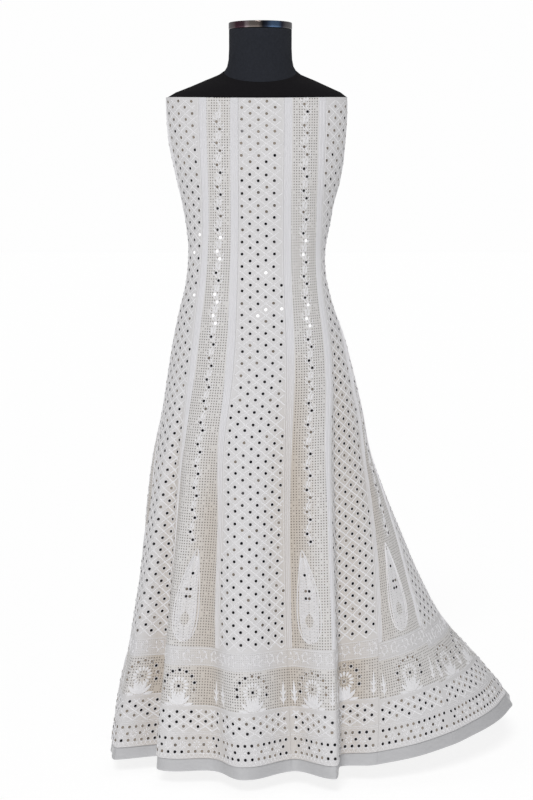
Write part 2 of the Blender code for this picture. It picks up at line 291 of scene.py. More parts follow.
TOP_EDGE, HEM = 1.288, 0.030
TOP_EDGE_DIP, DIP_SHARE, SWEEP_LIFT = 0.0040, 0.1, 0.053
STRIP_SHOWS, STRIP_OVERLAP = 0.022, 0.012
PANELS_AROUND, BACK_PANEL = 16, 8
FOLD_GROWTH = 1.2

OUTLINE = Table(
    ("height", "left", "right", "front", "back"),
    (
        (1.288, 0.185, 0.170, 0.088, 0.084),
        (1.240, 0.183, 0.169, 0.102, 0.095),
        (1.200, 0.179, 0.166, 0.114, 0.101),
        (1.160, 0.171, 0.162, 0.121, 0.101),
        (1.120, 0.162, 0.155, 0.121, 0.098),
        (1.080, 0.153, 0.144, 0.114, 0.093),
        (1.040, 0.146, 0.137, 0.106, 0.088),
        (1.000, 0.142, 0.129, 0.100, 0.086),
        (0.960, 0.143, 0.127, 0.098, 0.088),
        (0.920, 0.148, 0.132, 0.103, 0.097),
        (0.880, 0.158, 0.142, 0.114, 0.110),
        (0.820, 0.171, 0.163, 0.133, 0.131),
        (0.750, 0.183, 0.182, 0.156, 0.153),
        (0.660, 0.198, 0.204, 0.181, 0.175),
        (0.580, 0.213, 0.220, 0.203, 0.193),
        (0.490, 0.223, 0.252, 0.228, 0.213),
        (0.400, 0.230, 0.289, 0.252, 0.232),
        (0.300, 0.241, 0.332, 0.279, 0.251),
        (0.200, 0.254, 0.387, 0.306, 0.270),
        (0.120, 0.272, 0.455, 0.328, 0.285),
        (0.030, 0.284, 0.522, 0.353, 0.302),
    ),
)
WIDTHS = Table(
    ("height", "left_2", "left_1", "centre", "right_1", "right_2", "right_3", "right_4"),
    (
        (1.288, 0.095, 0.078, 0.089, 0.085, 0.080, 0.045, 0.045),
        (0.960, 0.078, 0.081, 0.090, 0.091, 0.070, 0.033, 0.033),
        (0.750, 0.110, 0.098, 0.106, 0.095, 0.072, 0.045, 0.050),
        (0.620, 0.130, 0.099, 0.121, 0.087, 0.112, 0.057, 0.060),
        (0.490, 0.150, 0.109, 0.124, 0.084, 0.117, 0.087, 0.085),
        (0.300, 0.180, 0.126, 0.134, 0.082, 0.111, 0.119, 0.150),
        (0.030, 0.220, 0.159, 0.132, 0.078, 0.087, 0.173, 0.235),
    ),
)
CENTRE_LINE = Table(
    ("height", "offset"),
    (
        (1.288, 0.002),
        (0.960, 0.001),
        (0.750, -0.001),
        (0.620, -0.011),
        (0.490, -0.013),
        (0.300, -0.015),
        (0.030, -0.005),
    ),
)
FOLDS = Table(
    ("place", "depth", "start"),
    (
        (-7.73, 0.026, 0.86),
        (-7.19, -0.030, 0.86),
        (-6.54, 0.030, 0.84),
        (-5.95, -0.024, 0.84),
        (-5.35, 0.028, 0.84),
        (-4.81, -0.028, 0.82),
        (-4.21, 0.022, 0.82),
        (-3.67, -0.026, 0.80),
        (-3.07, 0.016, 0.78),
        (-2.53, -0.018, 0.76),
        (-2.17, -0.008, 0.76),
        (-1.97, 0.044, 0.78),
        (-1.73, 0.061, 0.74),
        (-1.61, -0.026, 0.76),
        (-1.22, 0.034, 0.78),
        (-0.67, -0.016, 0.80),
        (-0.19, 0.026, 0.80),
        (0.55, -0.028, 0.86),
        (1.44, 0.041, 0.90),
        (1.77, -0.033, 0.90),
        (2.50, -0.011, 0.86),
        (2.98, -0.008, 0.80),
        (3.45, -0.012, 0.80),
        (3.82, -0.018, 0.78),
        (4.37, -0.018, 0.78),
        (4.72, -0.013, 0.78),
        (4.95, -0.015, 0.80),
        (5.74, 0.010, 0.82),
        (6.21, -0.034, 0.84),
        (6.75, 0.028, 0.84),
        (7.34, -0.024, 0.86),
        (7.83, 0.030, 0.86),
    ),
)
FRONT_PANELS = dict(zip(range(-2, 5), WIDTHS.columns[1:]))
PANELS = range(BACK_PANEL - PANELS_AROUND + 1, BACK_PANEL + 1)


def panel_name(panel):
    if panel == 0:
        return "centre"
    if panel == BACK_PANEL:
        return "back"
    return ("right_" if panel > 0 else "left_") + str(abs(panel))


print("panels:", ", ".join(panel_name(panel) for panel in PANELS))

# %% [markdown]
# A table has few rows, and cloth has no corners. So a value between two rows is read from a smooth
# curve through all of them, and every other size below comes through this one function.

# %% Reading a table smoothly
def smooth_read(table, column, height):
    """The table's column at each height, on one smooth curve through the rows."""
    rows = sorted(table.rows)
    known = np.array([row[0] for row in rows])
    values = np.array([row[table.columns.index(column)] for row in rows])
    slopes = np.gradient(values, known)
    height = np.clip(height, known[0], known[-1])
    low = np.clip(np.searchsorted(known, height) - 1, 0, len(known) - 2)
    step = known[low + 1] - known[low]
    t = (height - known[low]) / step
    rise = t * t * (3 - 2 * t)
    bends = slopes[low] * t * (1 - t) ** 2 * step + slopes[low + 1] * t * t * (t - 1) * step
    return values[low] * (1 - rise) + values[low + 1] * rise + bends


print("waist half width, left and right:",
      [round(float(smooth_read(OUTLINE, side, 1.0)), 3) for side in ("left", "right")])

# %% [markdown]
# Going round the gown, a place is counted in panels from the middle of the centre panel: 0.5 is the
# seam to its right, and 8 is the middle of the back. A place keeps its meaning from the top edge to
# the hem, so a seam or a fold is a line of one place.

# %% Outline and seams
ARC_SAMPLES = 1441


def outline_point(turn, height):
    """A point of the unfolded gown. The turn is 0 at the front and a quarter turn at the right."""
    left, right, front, back = (smooth_read(OUTLINE, column, height) for column in OUTLINE.columns[1:])
    side = np.where(np.sin(turn) > 0, right, left)
    depth = np.where(np.cos(turn) > 0, front, back)
    return side * np.sin(turn), -depth * np.cos(turn)


def seam_places(height, around):
    """The distance round the gown from the centre panel's middle to each seam, at one height."""
    widths = {panel: smooth_read(WIDTHS, column, height) for panel, column in FRONT_PANELS.items()}
    hidden = (around - sum(widths.values())) / (PANELS_AROUND - len(widths))
    right, left = [widths[0] / 2], [-widths[0] / 2]
    for step in range(1, BACK_PANEL + 2):
        right.append(right[-1] + widths.get(step, hidden))
        left.append(left[-1] - widths.get(-step, hidden))
    return np.array(left[::-1] + right)


def turns_of_places(places, height):
    """The turn on the outline of each place, at one height."""
    turn = np.linspace(-math.pi, math.pi, ARC_SAMPLES)
    x, y = outline_point(turn, height)
    run = np.concatenate([[0.0], np.cumsum(np.hypot(np.diff(x), np.diff(y)))])
    front = slice(ARC_SAMPLES // 4, 3 * ARC_SAMPLES // 4)
    middle = np.interp(smooth_read(CENTRE_LINE, "offset", height), x[front], run[front])
    seams = seam_places(height, run[-1])
    seam_numbers = np.arange(len(seams)) - len(seams) / 2 + 0.5
    distance = middle + np.interp(places, seam_numbers, seams)
    return np.interp(np.mod(distance, run[-1]), run, turn)


print("turn of the seams beside the centre panel, at the hem, in degrees:",
      np.degrees(turns_of_places(np.array([-0.5, 0.5]), HEM)).round(1))

# %% [markdown]
# Every row of FOLDS pushes the cloth out, or in where its depth is negative, and the push eases from
# one row to the next. A fold is deepest at the hem and dies away at its start height.

# %% Folds
def fold_depth(places, height):
    """How far the folds push the cloth out, at each place and at one height."""
    folds = np.array(FOLDS.rows)
    once_round = np.array([PANELS_AROUND, 0, 0])
    known, depths, starts = np.concatenate([folds - once_round, folds, folds + once_round]).T
    growth = np.clip((starts - height) / (starts - HEM), 0.0, None)
    depths = depths * growth ** FOLD_GROWTH
    low = np.clip(np.searchsorted(known, places) - 1, 0, len(known) - 2)
    t = (places - known[low]) / (known[low + 1] - known[low])
    ease = 0.5 - 0.5 * np.cos(math.pi * t)
    return depths[low] * (1 - ease) + depths[low + 1] * ease


print("crests and troughs:", len(FOLDS.rows))

# %% [markdown]
# A point of the cloth is the outline's point, pushed along the outline's normal. The hem is lifted
# towards the right, where the skirt sweeps, and the top edge dips a little in front.

# %% From a place to a point of the cloth
SMALL_TURN = 0.002


def cloth_row(places, height):
    """Points of the gown's outer side at one height of the outline, as an array of x, y, z."""
    turn = turns_of_places(places, height)
    x, y = outline_point(turn, height)
    x_next, y_next = outline_point(turn + SMALL_TURN, height)
    x_last, y_last = outline_point(turn - SMALL_TURN, height)
    along = np.stack([x_next - x_last, y_next - y_last], -1)
    along /= np.linalg.norm(along, axis=-1, keepdims=True)
    push = fold_depth(places, height)
    share = (TOP_EDGE - height) / (TOP_EDGE - HEM)
    lift = SWEEP_LIFT * np.clip(np.sin(turn), 0.0, 1.0) ** 2 * share ** 2
    dip = TOP_EDGE_DIP * np.clip(np.cos(turn), 0.0, 1.0) ** 2 * max(0.0, 1 - share / DIP_SHARE)
    return np.stack([x + along[:, 1] * push, y - along[:, 0] * push, height + lift - dip], -1)


print("middle of the front hem:", cloth_row(np.array([0.0]), HEM)[0].round(3))

# %% [markdown]
# ## The panels as sheets of points
# One grid of points covers the whole gown: 32 columns to a panel, and a row about every centimetre.
# A panel is a slice of it. Each slice also knows how far every point lies across the cloth from the
# panel's middle and up from its lower edge. Those two lengths, in metres, become the UV map, so that
# a pattern is drawn at its true size and follows every fold.

# %% Grid of the whole gown
COLUMNS_A_PANEL, ROWS_OF_PANEL, ROWS_OF_STRIP = 32, 128, 8
PANEL_FOOT = HEM + STRIP_SHOWS

places = np.linspace(PANELS[0] - 0.5, PANELS[-1] + 0.5, PANELS_AROUND * COLUMNS_A_PANEL + 1)
panel_heights = np.linspace(PANEL_FOOT, TOP_EDGE, ROWS_OF_PANEL)
strip_heights = np.linspace(HEM, PANEL_FOOT + STRIP_OVERLAP, ROWS_OF_STRIP)


def cloth_grid(heights):
    """Points and outward normals of the gown's outer side, one row for each height."""
    points = np.stack([cloth_row(places, height) for height in heights])
    wrapped = np.concatenate([points[:, -2:-1], points, points[:, 1:2]], axis=1)
    normals = np.cross((wrapped[:, 2:] - wrapped[:, :-2]), np.gradient(points, axis=0))
    return points, normals / np.linalg.norm(normals, axis=-1, keepdims=True)


gown_points, gown_normals = cloth_grid(panel_heights)
strip_points, strip_normals = cloth_grid(strip_heights)
print("grid of the gown:", gown_points.shape[:2], "points")

# %% [markdown]
# The cloth's finish paints shade into the troughs, so it needs to know where they are. Each point also
# gets how far it lies behind the crests near it. A crest counts less the further off it is, and the depths
# are set against how deep the folds are at that height.

# %% How far each point lies behind the crests
CREST_REACH, CREST_FADES = 44, 0.8 * MM
FOLD_HEIGHTS, FOLD_SHARES = (0.03, 0.50, 0.80), (1.0, 0.30, 0.12)

fold_reach = np.stack([fold_depth(places, height) for height in panel_heights])
aside = np.arange(-CREST_REACH, CREST_REACH + 1)[:, None]
beside = fold_reach[:, (aside + np.arange(len(places))) % (len(places) - 1)]
shallow = np.interp(panel_heights, FOLD_HEIGHTS, FOLD_SHARES)[:, None]
behind = (beside - np.abs(aside) * CREST_FADES * shallow[:, :, None]).max(axis=1) - fold_reach
behind /= shallow
print("deepest trough:", round(float(behind[0].max()) / MM), "mm behind its crests at the panels' foot")

# %% Cut of each panel
Cut = collections.namedtuple("Cut", ("points", "normals", "across", "up", "half", "behind"))


def cut_panel(panel, points, normals, behind):
    """A panel's own points, with their distances across from its middle and up from its foot."""
    first = (panel - PANELS[0]) * COLUMNS_A_PANEL
    columns = slice(first, first + COLUMNS_A_PANEL + 1)
    points, normals, behind = points[:, columns], normals[:, columns], behind[:, columns]
    steps = np.linalg.norm(np.diff(points, axis=1), axis=-1)
    run = np.concatenate([np.zeros((len(points), 1)), np.cumsum(steps, axis=1)], axis=1)
    half = run[:, -1] / 2
    middle = points[:, COLUMNS_A_PANEL // 2]
    up = np.concatenate([[0.0], np.cumsum(np.linalg.norm(np.diff(middle, axis=0), axis=-1))])
    return Cut(points, normals, run - half[:, None], up, half, behind)


cuts = {panel: cut_panel(panel, gown_points, gown_normals, behind) for panel in PANELS}
print("centre panel, flat: foot", round(2 * cuts[0].half[0], 3), "top", round(2 * cuts[0].half[-1], 3),
      "length", round(cuts[0].up[-1], 3))

# %% Where a point of the flat panel hangs
def on_panel(panel, across, up, height):
    """Points of a panel's outer side, for arrays of distances across, up and out from the cloth."""
    cut = cuts[panel]
    rows, columns = cut.across.shape
    row = np.interp(up, cut.up, np.arange(rows))
    low = np.clip(row.astype(int), 0, rows - 2)
    place, outward = 0.0, 0.0
    for level, level_share in ((low, 1 - (row - low)), (low + 1, row - low)):
        reach = cut.across[level]
        column = np.clip((reach < across[:, None]).sum(1) - 1, 0, columns - 2)
        start, end = cut.across[level, column], cut.across[level, column + 1]
        t = np.clip((across - start) / (end - start), 0.0, 1.0)
        for side, share in ((column, 1 - t), (column + 1, t)):
            weight = (share * level_share)[:, None]
            place = place + cut.points[level, side] * weight
            outward = outward + cut.normals[level, side] * weight
    outward /= np.linalg.norm(outward, axis=-1, keepdims=True)
    return place + outward * np.asarray(height)[:, None]


def half_width(panel, up):
    """The distance from a panel's middle to its seams, at a distance up from its foot."""
    return np.interp(up, cuts[panel].up, cuts[panel].half)


print("a point 10 mm up the centre panel:",
      on_panel(0, np.array([0.0]), np.array([10 * MM]), np.array([0.0]))[0].round(3))

# %% [markdown]
# ## Making meshes from arrays
# Cloth and stitches are thousands of small faces, which no one models one by one. So they are worked
# out as arrays of points and faces, and handed to Blender whole.

# %% Mesh from arrays
def mesh_piece(name, points, faces, finish, smooth_angle=50.0):
    """A shown piece from an array of points and an array of faces that all have the same corners."""
    corners = faces.shape[1]
    mesh = bpy.data.meshes.new(name)
    mesh.vertices.add(len(points))
    mesh.vertices.foreach_set("co", np.ascontiguousarray(points, np.float32).ravel())
    mesh.loops.add(faces.size)
    mesh.loops.foreach_set("vertex_index", np.ascontiguousarray(faces, np.int32).ravel())
    mesh.polygons.add(len(faces))
    mesh.polygons.foreach_set("loop_start", np.arange(0, faces.size, corners, dtype=np.int32))
    mesh.update(calc_edges=True)
    mesh.shade_smooth()
    mesh.set_sharp_from_angle(angle=math.radians(smooth_angle))
    mesh.materials.append(finish)
    thing = bpy.data.objects.new(name, mesh)
    bpy.context.scene.collection.objects.link(thing)
    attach(thing, "root")
    return thing


def shell(outer, inner):
    """Points and faces of a closed wall between two grids of points."""
    rows, columns = outer.shape[:2]
    count = rows * columns
    index = np.arange(count).reshape(rows, columns)
    corners = (index[:-1, :-1], index[:-1, 1:], index[1:, 1:], index[1:, :-1])
    front = np.stack([corner.ravel() for corner in corners], -1)
    rim = np.concatenate([index[0], index[1:, -1], index[-1, -2::-1], index[-2:0:-1, 0]])
    after = np.roll(rim, -1)
    edge = np.stack([after, rim, rim + count, after + count], -1)
    points = np.concatenate([outer.reshape(-1, 3), inner.reshape(-1, 3)])
    return points, np.concatenate([front, front[:, ::-1] + count, edge])


def give_floats(thing, name, values):
    thing.data.attributes.new(name, "FLOAT", "POINT").data.foreach_set("value", values.ravel())


def give_uv(thing, name, u, v):
    """A UV map in metres of cloth, from one u and one v for each point."""
    layer = thing.data.uv_layers.new(name=name)
    corners = np.empty(len(thing.data.loops), np.int32)
    thing.data.loops.foreach_get("vertex_index", corners)
    layer.data.foreach_set("uv", np.stack([u.ravel()[corners], v.ravel()[corners]], -1).ravel())


print("mesh tools are ready")

# %% [markdown]
# ## Where the patterns lie
# From the lower edge up, every panel has the same border: small scallops, a frame of mirrors and
# blossoms, a double line, a mirror lattice, a dotted band with arches of mirrors, and a scroll band.
# Above it every second panel is a diamond lattice, and those between are dotted, with a vine and
# a tall paisley between two white bands.

# %% Sizes of the patterns
SCALLOP_TOP = 9 * MM
FRAME_ROWS = (13 * MM, 25.5 * MM, 38 * MM)
DOUBLE_LINE = (45.5 * MM, 49 * MM)
BORDER_LATTICE, BORDER_CELL_TALL = (51 * MM, 96 * MM), 18 * MM
MEDALLION_BAND = (99 * MM, 174 * MM)
SCROLL_BAND = (178 * MM, 205 * MM)
BORDER_TOP = 209 * MM
SIDE_BAND, BAND_WIDENS, WIDENS_OVER, BAND_FLARE = 9 * MM, 0.42, 0.30, 6.5 * MM
MIRROR_RADIUS = 2.9 * MM


def is_lattice(panel):
    return panel % 2 == 0


print("border:", round(BORDER_TOP / MM), "mm tall")

# %% [markdown]
# ## The cloth's finish
# The cloth is a thin crinkled georgette over a cream lining, off white and matt, with a faint sheen.
# In the troughs a painted shade tints it beige, the colour of its lining. Fine metal dots are pressed
# through the dotted ground.
# They are far too many to model, so the finish draws them, from how far each point lies from the
# middle of its cell in a square grid, in metres of cloth.

# %% Weave and metal dots
WARP_PITCH, WEFT_PITCH = 1.1 * MM, 1.0 * MM


def crinkle(finish, across, up):
    """The height of georgette's weave: crossed threads, made uneven by noise."""
    grain = finish.noise(finish.join(across, up), 900.0)
    return grain + (finish.waves(across, WARP_PITCH) + finish.waves(up, WEFT_PITCH)) * 0.18


def metal_dots(finish, across, up, pitch, radius):
    """A mask of the dots, and a number from 0 to 1 that is the same all over each one."""
    column, row = across / pitch, up / pitch
    cell = finish.join(finish.maths("FLOOR", column), finish.maths("FLOOR", row))
    chance = finish.node("TexWhiteNoise", {"noise_dimensions": "2D"}, {"Vector": cell}, "Value")
    aside = finish.maths("FRACT", column) - 0.5
    above = finish.maths("FRACT", row) - 0.5
    distance = finish.maths("SQRT", aside * aside + above * above) * pitch
    return finish.past(radius, distance, 0.25 * MM), chance


print("threads of the weave:", round(WARP_PITCH / MM, 1), "and", round(WEFT_PITCH / MM, 1), "mm apart")

# %% Cloth finish
CLOTH_WHITE = rgb(0.640, 0.633, 0.643)
BAND_WHITE = rgb(0.700, 0.697, 0.725)
# the lining's beige: painted shade in the troughs, and faint random clouds of the cloth's own tone
LINING_AND_TROUGH_SHADE_TINT = rgb(0.520, 0.468, 0.415)
DOTTED_GROUND = rgb(0.650, 0.636, 0.628)
DARK_METAL, PALE_METAL = rgb(0.025, 0.021, 0.020), rgb(0.160, 0.130, 0.105)
DOT_PITCH, DOT_RADIUS = 5.2 * MM, 1.12 * MM
FINE_DOT_PITCH, FINE_DOT_RADIUS = 4.2 * MM, 0.55 * MM
CORD_PITCH = 2.4 * MM
LOST_DOTS = 0.06


def cloth_finish(name, dotted):
    finish = Finish(name, {"Specular IOR Level": 0.25, "Sheen Weight": 0.18, "Sheen Roughness": 0.4})
    across, up = finish.cloth_place()
    edge, trough = finish.attribute("edge"), finish.attribute("trough")
    medallions = finish.between(up, *MEDALLION_BAND)
    scroll = finish.between(up, *SCROLL_BAND)
    if dotted:
        width = SIDE_BAND + finish.past(up, BAND_WIDENS, WIDENS_OVER) * BAND_FLARE
        above = finish.past(up, BORDER_TOP)
        dot_zone = finish.mask(finish.past(edge, width) * above + medallions)
        band = finish.past(width, edge) * above
    else:
        dot_zone = medallions
        band = scroll * 0.3
    dots, chance = metal_dots(finish, across, up, DOT_PITCH, DOT_RADIUS)
    fine_dots, _ = metal_dots(finish, across, up, FINE_DOT_PITCH, FINE_DOT_RADIUS)
    dots = finish.mask(dots * dot_zone * finish.past(chance, LOST_DOTS, 0.05) + fine_dots * scroll * 0.7)
    cloud = finish.noise(finish.join(across, up), 14.0)
    colour = finish.colour_mix(dot_zone * 0.85, CLOTH_WHITE, DOTTED_GROUND)
    colour = finish.colour_mix(band, colour, BAND_WHITE)
    # painted shade: cloth that lies behind its crests is tinted towards the lining's beige, more on dotted
    # ground
    colour = finish.colour_mix(finish.mask(trough * (0.55 + dot_zone * 0.45)), colour, LINING_AND_TROUGH_SHADE_TINT)
    colour = finish.colour_mix(cloud * 0.10, colour, LINING_AND_TROUGH_SHADE_TINT)
    colour = finish.colour_mix(dots, colour, finish.colour_mix(chance, DARK_METAL, PALE_METAL))
    cords = finish.waves(edge, CORD_PITCH) * band
    relief = finish.bump(crinkle(finish, across, up) + cords * 1.5, 0.12 * MM)
    relief = finish.bump(dots, 0.5 * MM, under=relief)
    return finish.wear(Base_Color=colour, Roughness=0.82 - dots * 0.45, Metallic=dots * 0.8, Normal=relief)


plain_georgette = cloth_finish("plain_georgette", dotted=False)
dotted_georgette = cloth_finish("dotted_georgette", dotted=True)
print("cloth finishes:", plain_georgette.name, dotted_georgette.name)

# %% [markdown]
# ## The sixteen panels
# Each panel is a closed wall a little over a millimetre thick, on the outer side of its frame solid,
# and it stands for that solid. Its flat cut is a tapered strip, so its flat area is less than its width
# times its length.

# %% Walls of cloth from a cut
SEAM_GAP = 0.3 * MM


def open_seams(points):
    """Draws a grid's first and last columns in, so that a fine seam line shows between panels."""
    drawn = points.copy()
    for edge, inside in ((0, 1), (-1, -2)):
        along = points[:, inside] - points[:, edge]
        along /= np.linalg.norm(along, axis=-1, keepdims=True)
        drawn[:, edge] += along * SEAM_GAP / 2
    return drawn


def both_sides(grid):
    """A grid's values for a wall's outer points, and again for its inner ones."""
    return np.tile(grid, (2, 1))


def cloth_wall(name, cut, depth, thick, finish):
    """A wall of cloth on a cut, which starts a depth behind its points."""
    outer = cut.points - cut.normals * depth
    points, faces = shell(open_seams(outer), open_seams(outer - cut.normals * thick))
    piece = mesh_piece(name, points, faces, finish)
    up = np.repeat(cut.up[:, None], cut.across.shape[1], axis=1)
    give_uv(piece, "cloth", both_sides(cut.across), both_sides(up))
    return piece


def flat_size(cut):
    return float(2 * cut.half.max()), float(cut.up[-1])


def flat_area(cut):
    return float(np.sum((cut.half[1:] + cut.half[:-1]) * np.diff(cut.up)))


print("centre panel's flat area:", round(flat_area(cuts[0]), 4), "square metres")

# %% Panels
CLOTH_THICK = 1.2 * MM
TROUGH_DEPTH, TROUGH_START = 0.046, 0.22

for panel, cut in cuts.items():
    name = panel_name(panel)
    finish, slot = dotted_georgette, "dotted_cloth"
    if is_lattice(panel):
        finish, slot = plain_georgette, "lattice_cloth"
    piece = cloth_wall("gown_panel_" + name, cut, 0.0, CLOTH_THICK, finish)
    # painted shade: how deep each point lies in a trough, which the cloth finish tints darker
    trough = np.clip(cut.behind / TROUGH_DEPTH - TROUGH_START, 0.0, 1.0)
    give_floats(piece, "edge", both_sides(cut.half[:, None] - np.abs(cut.across)))
    give_floats(piece, "trough", both_sides(trough))
    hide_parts("panel_" + name)

# %% [markdown]
# ## The hem strips
# Behind each panel's lower edge hangs a plain satin strip, with its own joints below the seams. It is
# made from the same surface, moved in by the panel's wall. Its grey is partly its own and partly painted
# shade, and a painted highlight runs along its lower fold.

# %% Satin finish
# the satin's greys: its own grey, darkened with painted shade for the shade it hangs in below the panels
SATIN_DARK, SATIN_PALE, SATIN_FOLD_HIGHLIGHT = rgb(0.45, 0.45, 0.465), rgb(0.52, 0.52, 0.53), rgb(0.64, 0.64, 0.65)


def satin_finish():
    finish = Finish("hem_satin", {"Specular IOR Level": 0.4, "Sheen Weight": 0.3, "Sheen Roughness": 0.3})
    across, up = finish.cloth_place()
    cloud = finish.noise(finish.join(across, up * 4.0), 40.0)
    fold_highlight = finish.between(up, 0.8 * MM, 1.8 * MM, 0.4 * MM)
    colour = finish.colour_mix(cloud, SATIN_DARK, SATIN_PALE)
    # painted highlight: a lighter line along the strip's lower fold
    colour = finish.colour_mix(fold_highlight * 0.5, colour, SATIN_FOLD_HIGHLIGHT)
    relief = finish.bump(finish.waves(up, 0.7 * MM) + cloud * 2.0, 0.05 * MM)
    return finish.wear(Base_Color=colour, Roughness=0.42 + cloud * 0.15, Normal=relief)


hem_satin = satin_finish()
print("strip finish:", hem_satin.name)

# %% Hem strips
STRIP_THICK, PANEL_WALL = 0.9 * MM, 2.3 * MM

for panel in PANELS:
    name = panel_name(panel)
    cut = cut_panel(panel, strip_points, strip_normals, behind)
    piece = cloth_wall("gown_hem_strip_" + name, cut, PANEL_WALL, STRIP_THICK, hem_satin)
    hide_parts("hem_strip_" + name)
    flat_size(cut)
    flat_area(cut)
print("hem strips made:", len(PANELS))

# %% [markdown]
# ## Raised stitches
# Hand embroidery stands a little above the cloth: stems, leaves, petals and lines are all bundles of
# thread. One shape serves them all, a low ridge along a line, three points to a ring, which swells
# for a leaf and stays even for a stem.

# %% A ridge of thread
SINK = 0.25 * MM


def ridge_mesh(line, width, height):
    """Points of (across, up, out) and triangles of a ridge whose width and height may change."""
    line = np.asarray(line, float)
    count = len(line)
    along = np.gradient(line, axis=0)
    along /= np.linalg.norm(along, axis=-1, keepdims=True)
    side = np.stack([-along[:, 1], along[:, 0]], -1) * (np.broadcast_to(width, count) / 2)[:, None]
    base = np.full(count, -SINK)
    rings = [np.column_stack([line + side, base]),
             np.column_stack([line, np.broadcast_to(height, count)]),
             np.column_stack([line - side, base])]
    start = 3 * np.arange(count - 1)
    faces = []
    for here, there in ((0, 1), (1, 2), (2, 0)):
        faces.append(np.stack([start + here, start + there, start + 3 + there], -1))
        faces.append(np.stack([start + here, start + 3 + there, start + 3 + here], -1))
    last = 3 * (count - 1)
    faces.append(np.array([[0, 2, 1], [last, last + 1, last + 2]]))
    return np.stack(rings, 1).reshape(-1, 3), np.concatenate(faces)


print("a ridge of 5 rings has", len(ridge_mesh([(0, step) for step in range(5)], 1.0, 1.0)[1]), "faces")

# %% [markdown]
# A Stitching gathers all that is stitched on one panel. It is drawn on the flat cut, and on_panel
# hangs it on the folded cloth, so it bends with every fold. It is then joined in one mesh.

# %% Stitches gathered on a panel
PETAL_RINGS = 4


def away(centre, distance, angle):
    """The (across, up) at a distance from a centre, at an angle from upright."""
    return centre[0] + distance * np.sin(angle), centre[1] + distance * np.cos(angle)


class Stitching:
    """Raised work on one panel, as points of (across, up, out) and triangles."""

    def __init__(self):
        self.points, self.faces, self.tones, self.count = [], [], [], 0

    def add(self, points, faces, tones):
        self.points.append(points)
        self.faces.append(faces + self.count)
        self.tones.append(tones)
        self.count += len(points)

    def ridge(self, line, width, height):
        points, faces = ridge_mesh(line, width, height)
        self.add(points, faces, np.zeros(len(points)))

    def leaf(self, foot, angle, length, width, curl=0.0, height=0.9 * MM, rings=5):
        """A leaf or petal from its foot, pointing at an angle from upright, with a curl along it."""
        t = np.linspace(0.0, 1.0, rings)
        bend = angle + curl * t[:-1]
        step = length / (rings - 1)
        across = foot[0] + np.concatenate([[0.0], np.cumsum(np.sin(bend) * step)])
        up = foot[1] + np.concatenate([[0.0], np.cumsum(np.cos(bend) * step)])
        swell = np.sin(math.pi * (t * 0.92 + 0.06)) ** 0.8
        self.ridge(np.column_stack([across, up]), width * swell, height * (0.35 + 0.65 * swell))

    def blossom(self, centre, radius, petals, width, inner=0.3):
        """A ring of petals round a centre, which start at an inner share of its radius."""
        for step in range(petals):
            angle = 2 * math.pi * step / petals
            self.leaf(away(centre, radius * inner, angle), angle, radius * (1 - inner), width,
                      rings=PETAL_RINGS)

    def hang(self, name, panel, finish, slot, smooth_angle):
        """The gathered work as one mesh on its panel."""
        flat = np.concatenate(self.points)
        points = on_panel(panel, *flat.T)
        piece = mesh_piece(name, points, np.concatenate(self.faces), finish, smooth_angle)
        give_uv(piece, "cloth", flat[:, 0], flat[:, 1])
        give_floats(piece, "tone", np.concatenate(self.tones))
        return piece


print("a petal has", 3 * PETAL_RINGS, "points")

# %% [markdown]
# ## Mirrors
# Each mirror is a round chip of glass nearly 6 mm across, held by a ring of buttonhole stitches. One
# disc and one ring are modelled as templates of a few dozen faces and copied to each place, with
# a small random tilt, so that neighbours catch the light differently.

# %% Mirror and stitch-ring templates
DISC_SIDES = 8
MIRROR_OUT, MIRROR_BEVEL = 1.0 * MM, 0.35 * MM
RING_OUT, RING_REACH, RING_TOP, RING_LAPS = 0.65 * MM, 1.45 * MM, 0.3 * MM, 0.4 * MM


def disc_rings(*rings):
    """Points of rings, each given as a radius and a height."""
    angle = np.arange(DISC_SIDES) * 2 * math.pi / DISC_SIDES
    return np.concatenate([
        np.column_stack([radius * np.cos(angle), radius * np.sin(angle), np.full(DISC_SIDES, height)])
        for radius, height in rings
    ])


def belt(low, high):
    """Triangles between two numbered rings."""
    step = np.arange(DISC_SIDES)
    after = (step + 1) % DISC_SIDES
    low, high = low * DISC_SIDES, high * DISC_SIDES
    return np.concatenate([np.stack([low + step, low + after, high + after], -1),
                           np.stack([low + step, high + after, high + step], -1)])


def fan(ring):
    """Triangles that fill a numbered ring, facing up."""
    first, step = ring * DISC_SIDES, np.arange(1, DISC_SIDES - 1)
    return np.stack([np.full(DISC_SIDES - 2, first), first + step, first + step + 1], -1)


mirror_points = disc_rings((MIRROR_RADIUS, -SINK), (MIRROR_RADIUS, MIRROR_OUT - MIRROR_BEVEL),
                           (MIRROR_RADIUS - MIRROR_BEVEL, MIRROR_OUT))
mirror_faces = np.concatenate([fan(0)[:, ::-1], belt(0, 1), belt(1, 2), fan(2)])
ring_points = disc_rings((MIRROR_RADIUS + RING_REACH, -SINK), (MIRROR_RADIUS + RING_TOP, RING_OUT),
                         (MIRROR_RADIUS - RING_LAPS, -SINK))
ring_faces = np.concatenate([belt(0, 1), belt(1, 2), belt(2, 0)])
print("a mirror has", len(mirror_faces), "faces, its ring", len(ring_faces))

# %% [markdown]
# Glass mirrors a room that isn't built here, so each mirror gets a painted reflection instead, as a tone.
# Most are painted dark, some beige, as nearly all are in a zone below the top edge, and those round the
# waist, which lean to the light, get a painted glint.

# %% Tone of each mirror
draw = np.random.default_rng(1204)
DARKEST_SHARE, BEIGE_REFLECTION_FROM, BEIGE_REFLECTION_TONE, BEIGE_TONE = 0.60, 0.78, 0.66, 0.70
TOP_ZONE, TOP_ZONE_FADE, TOP_ZONE_SHARE = 0.16, 0.05, 0.8
BORDER_BEIGE_LEVEL = 0.75
GLINT_HEIGHT, GLINT_REACH = 0.91, 0.10
LATTICE_GLINTS_FROM, VINE_GLINTS_FROM = 0.93, 0.3


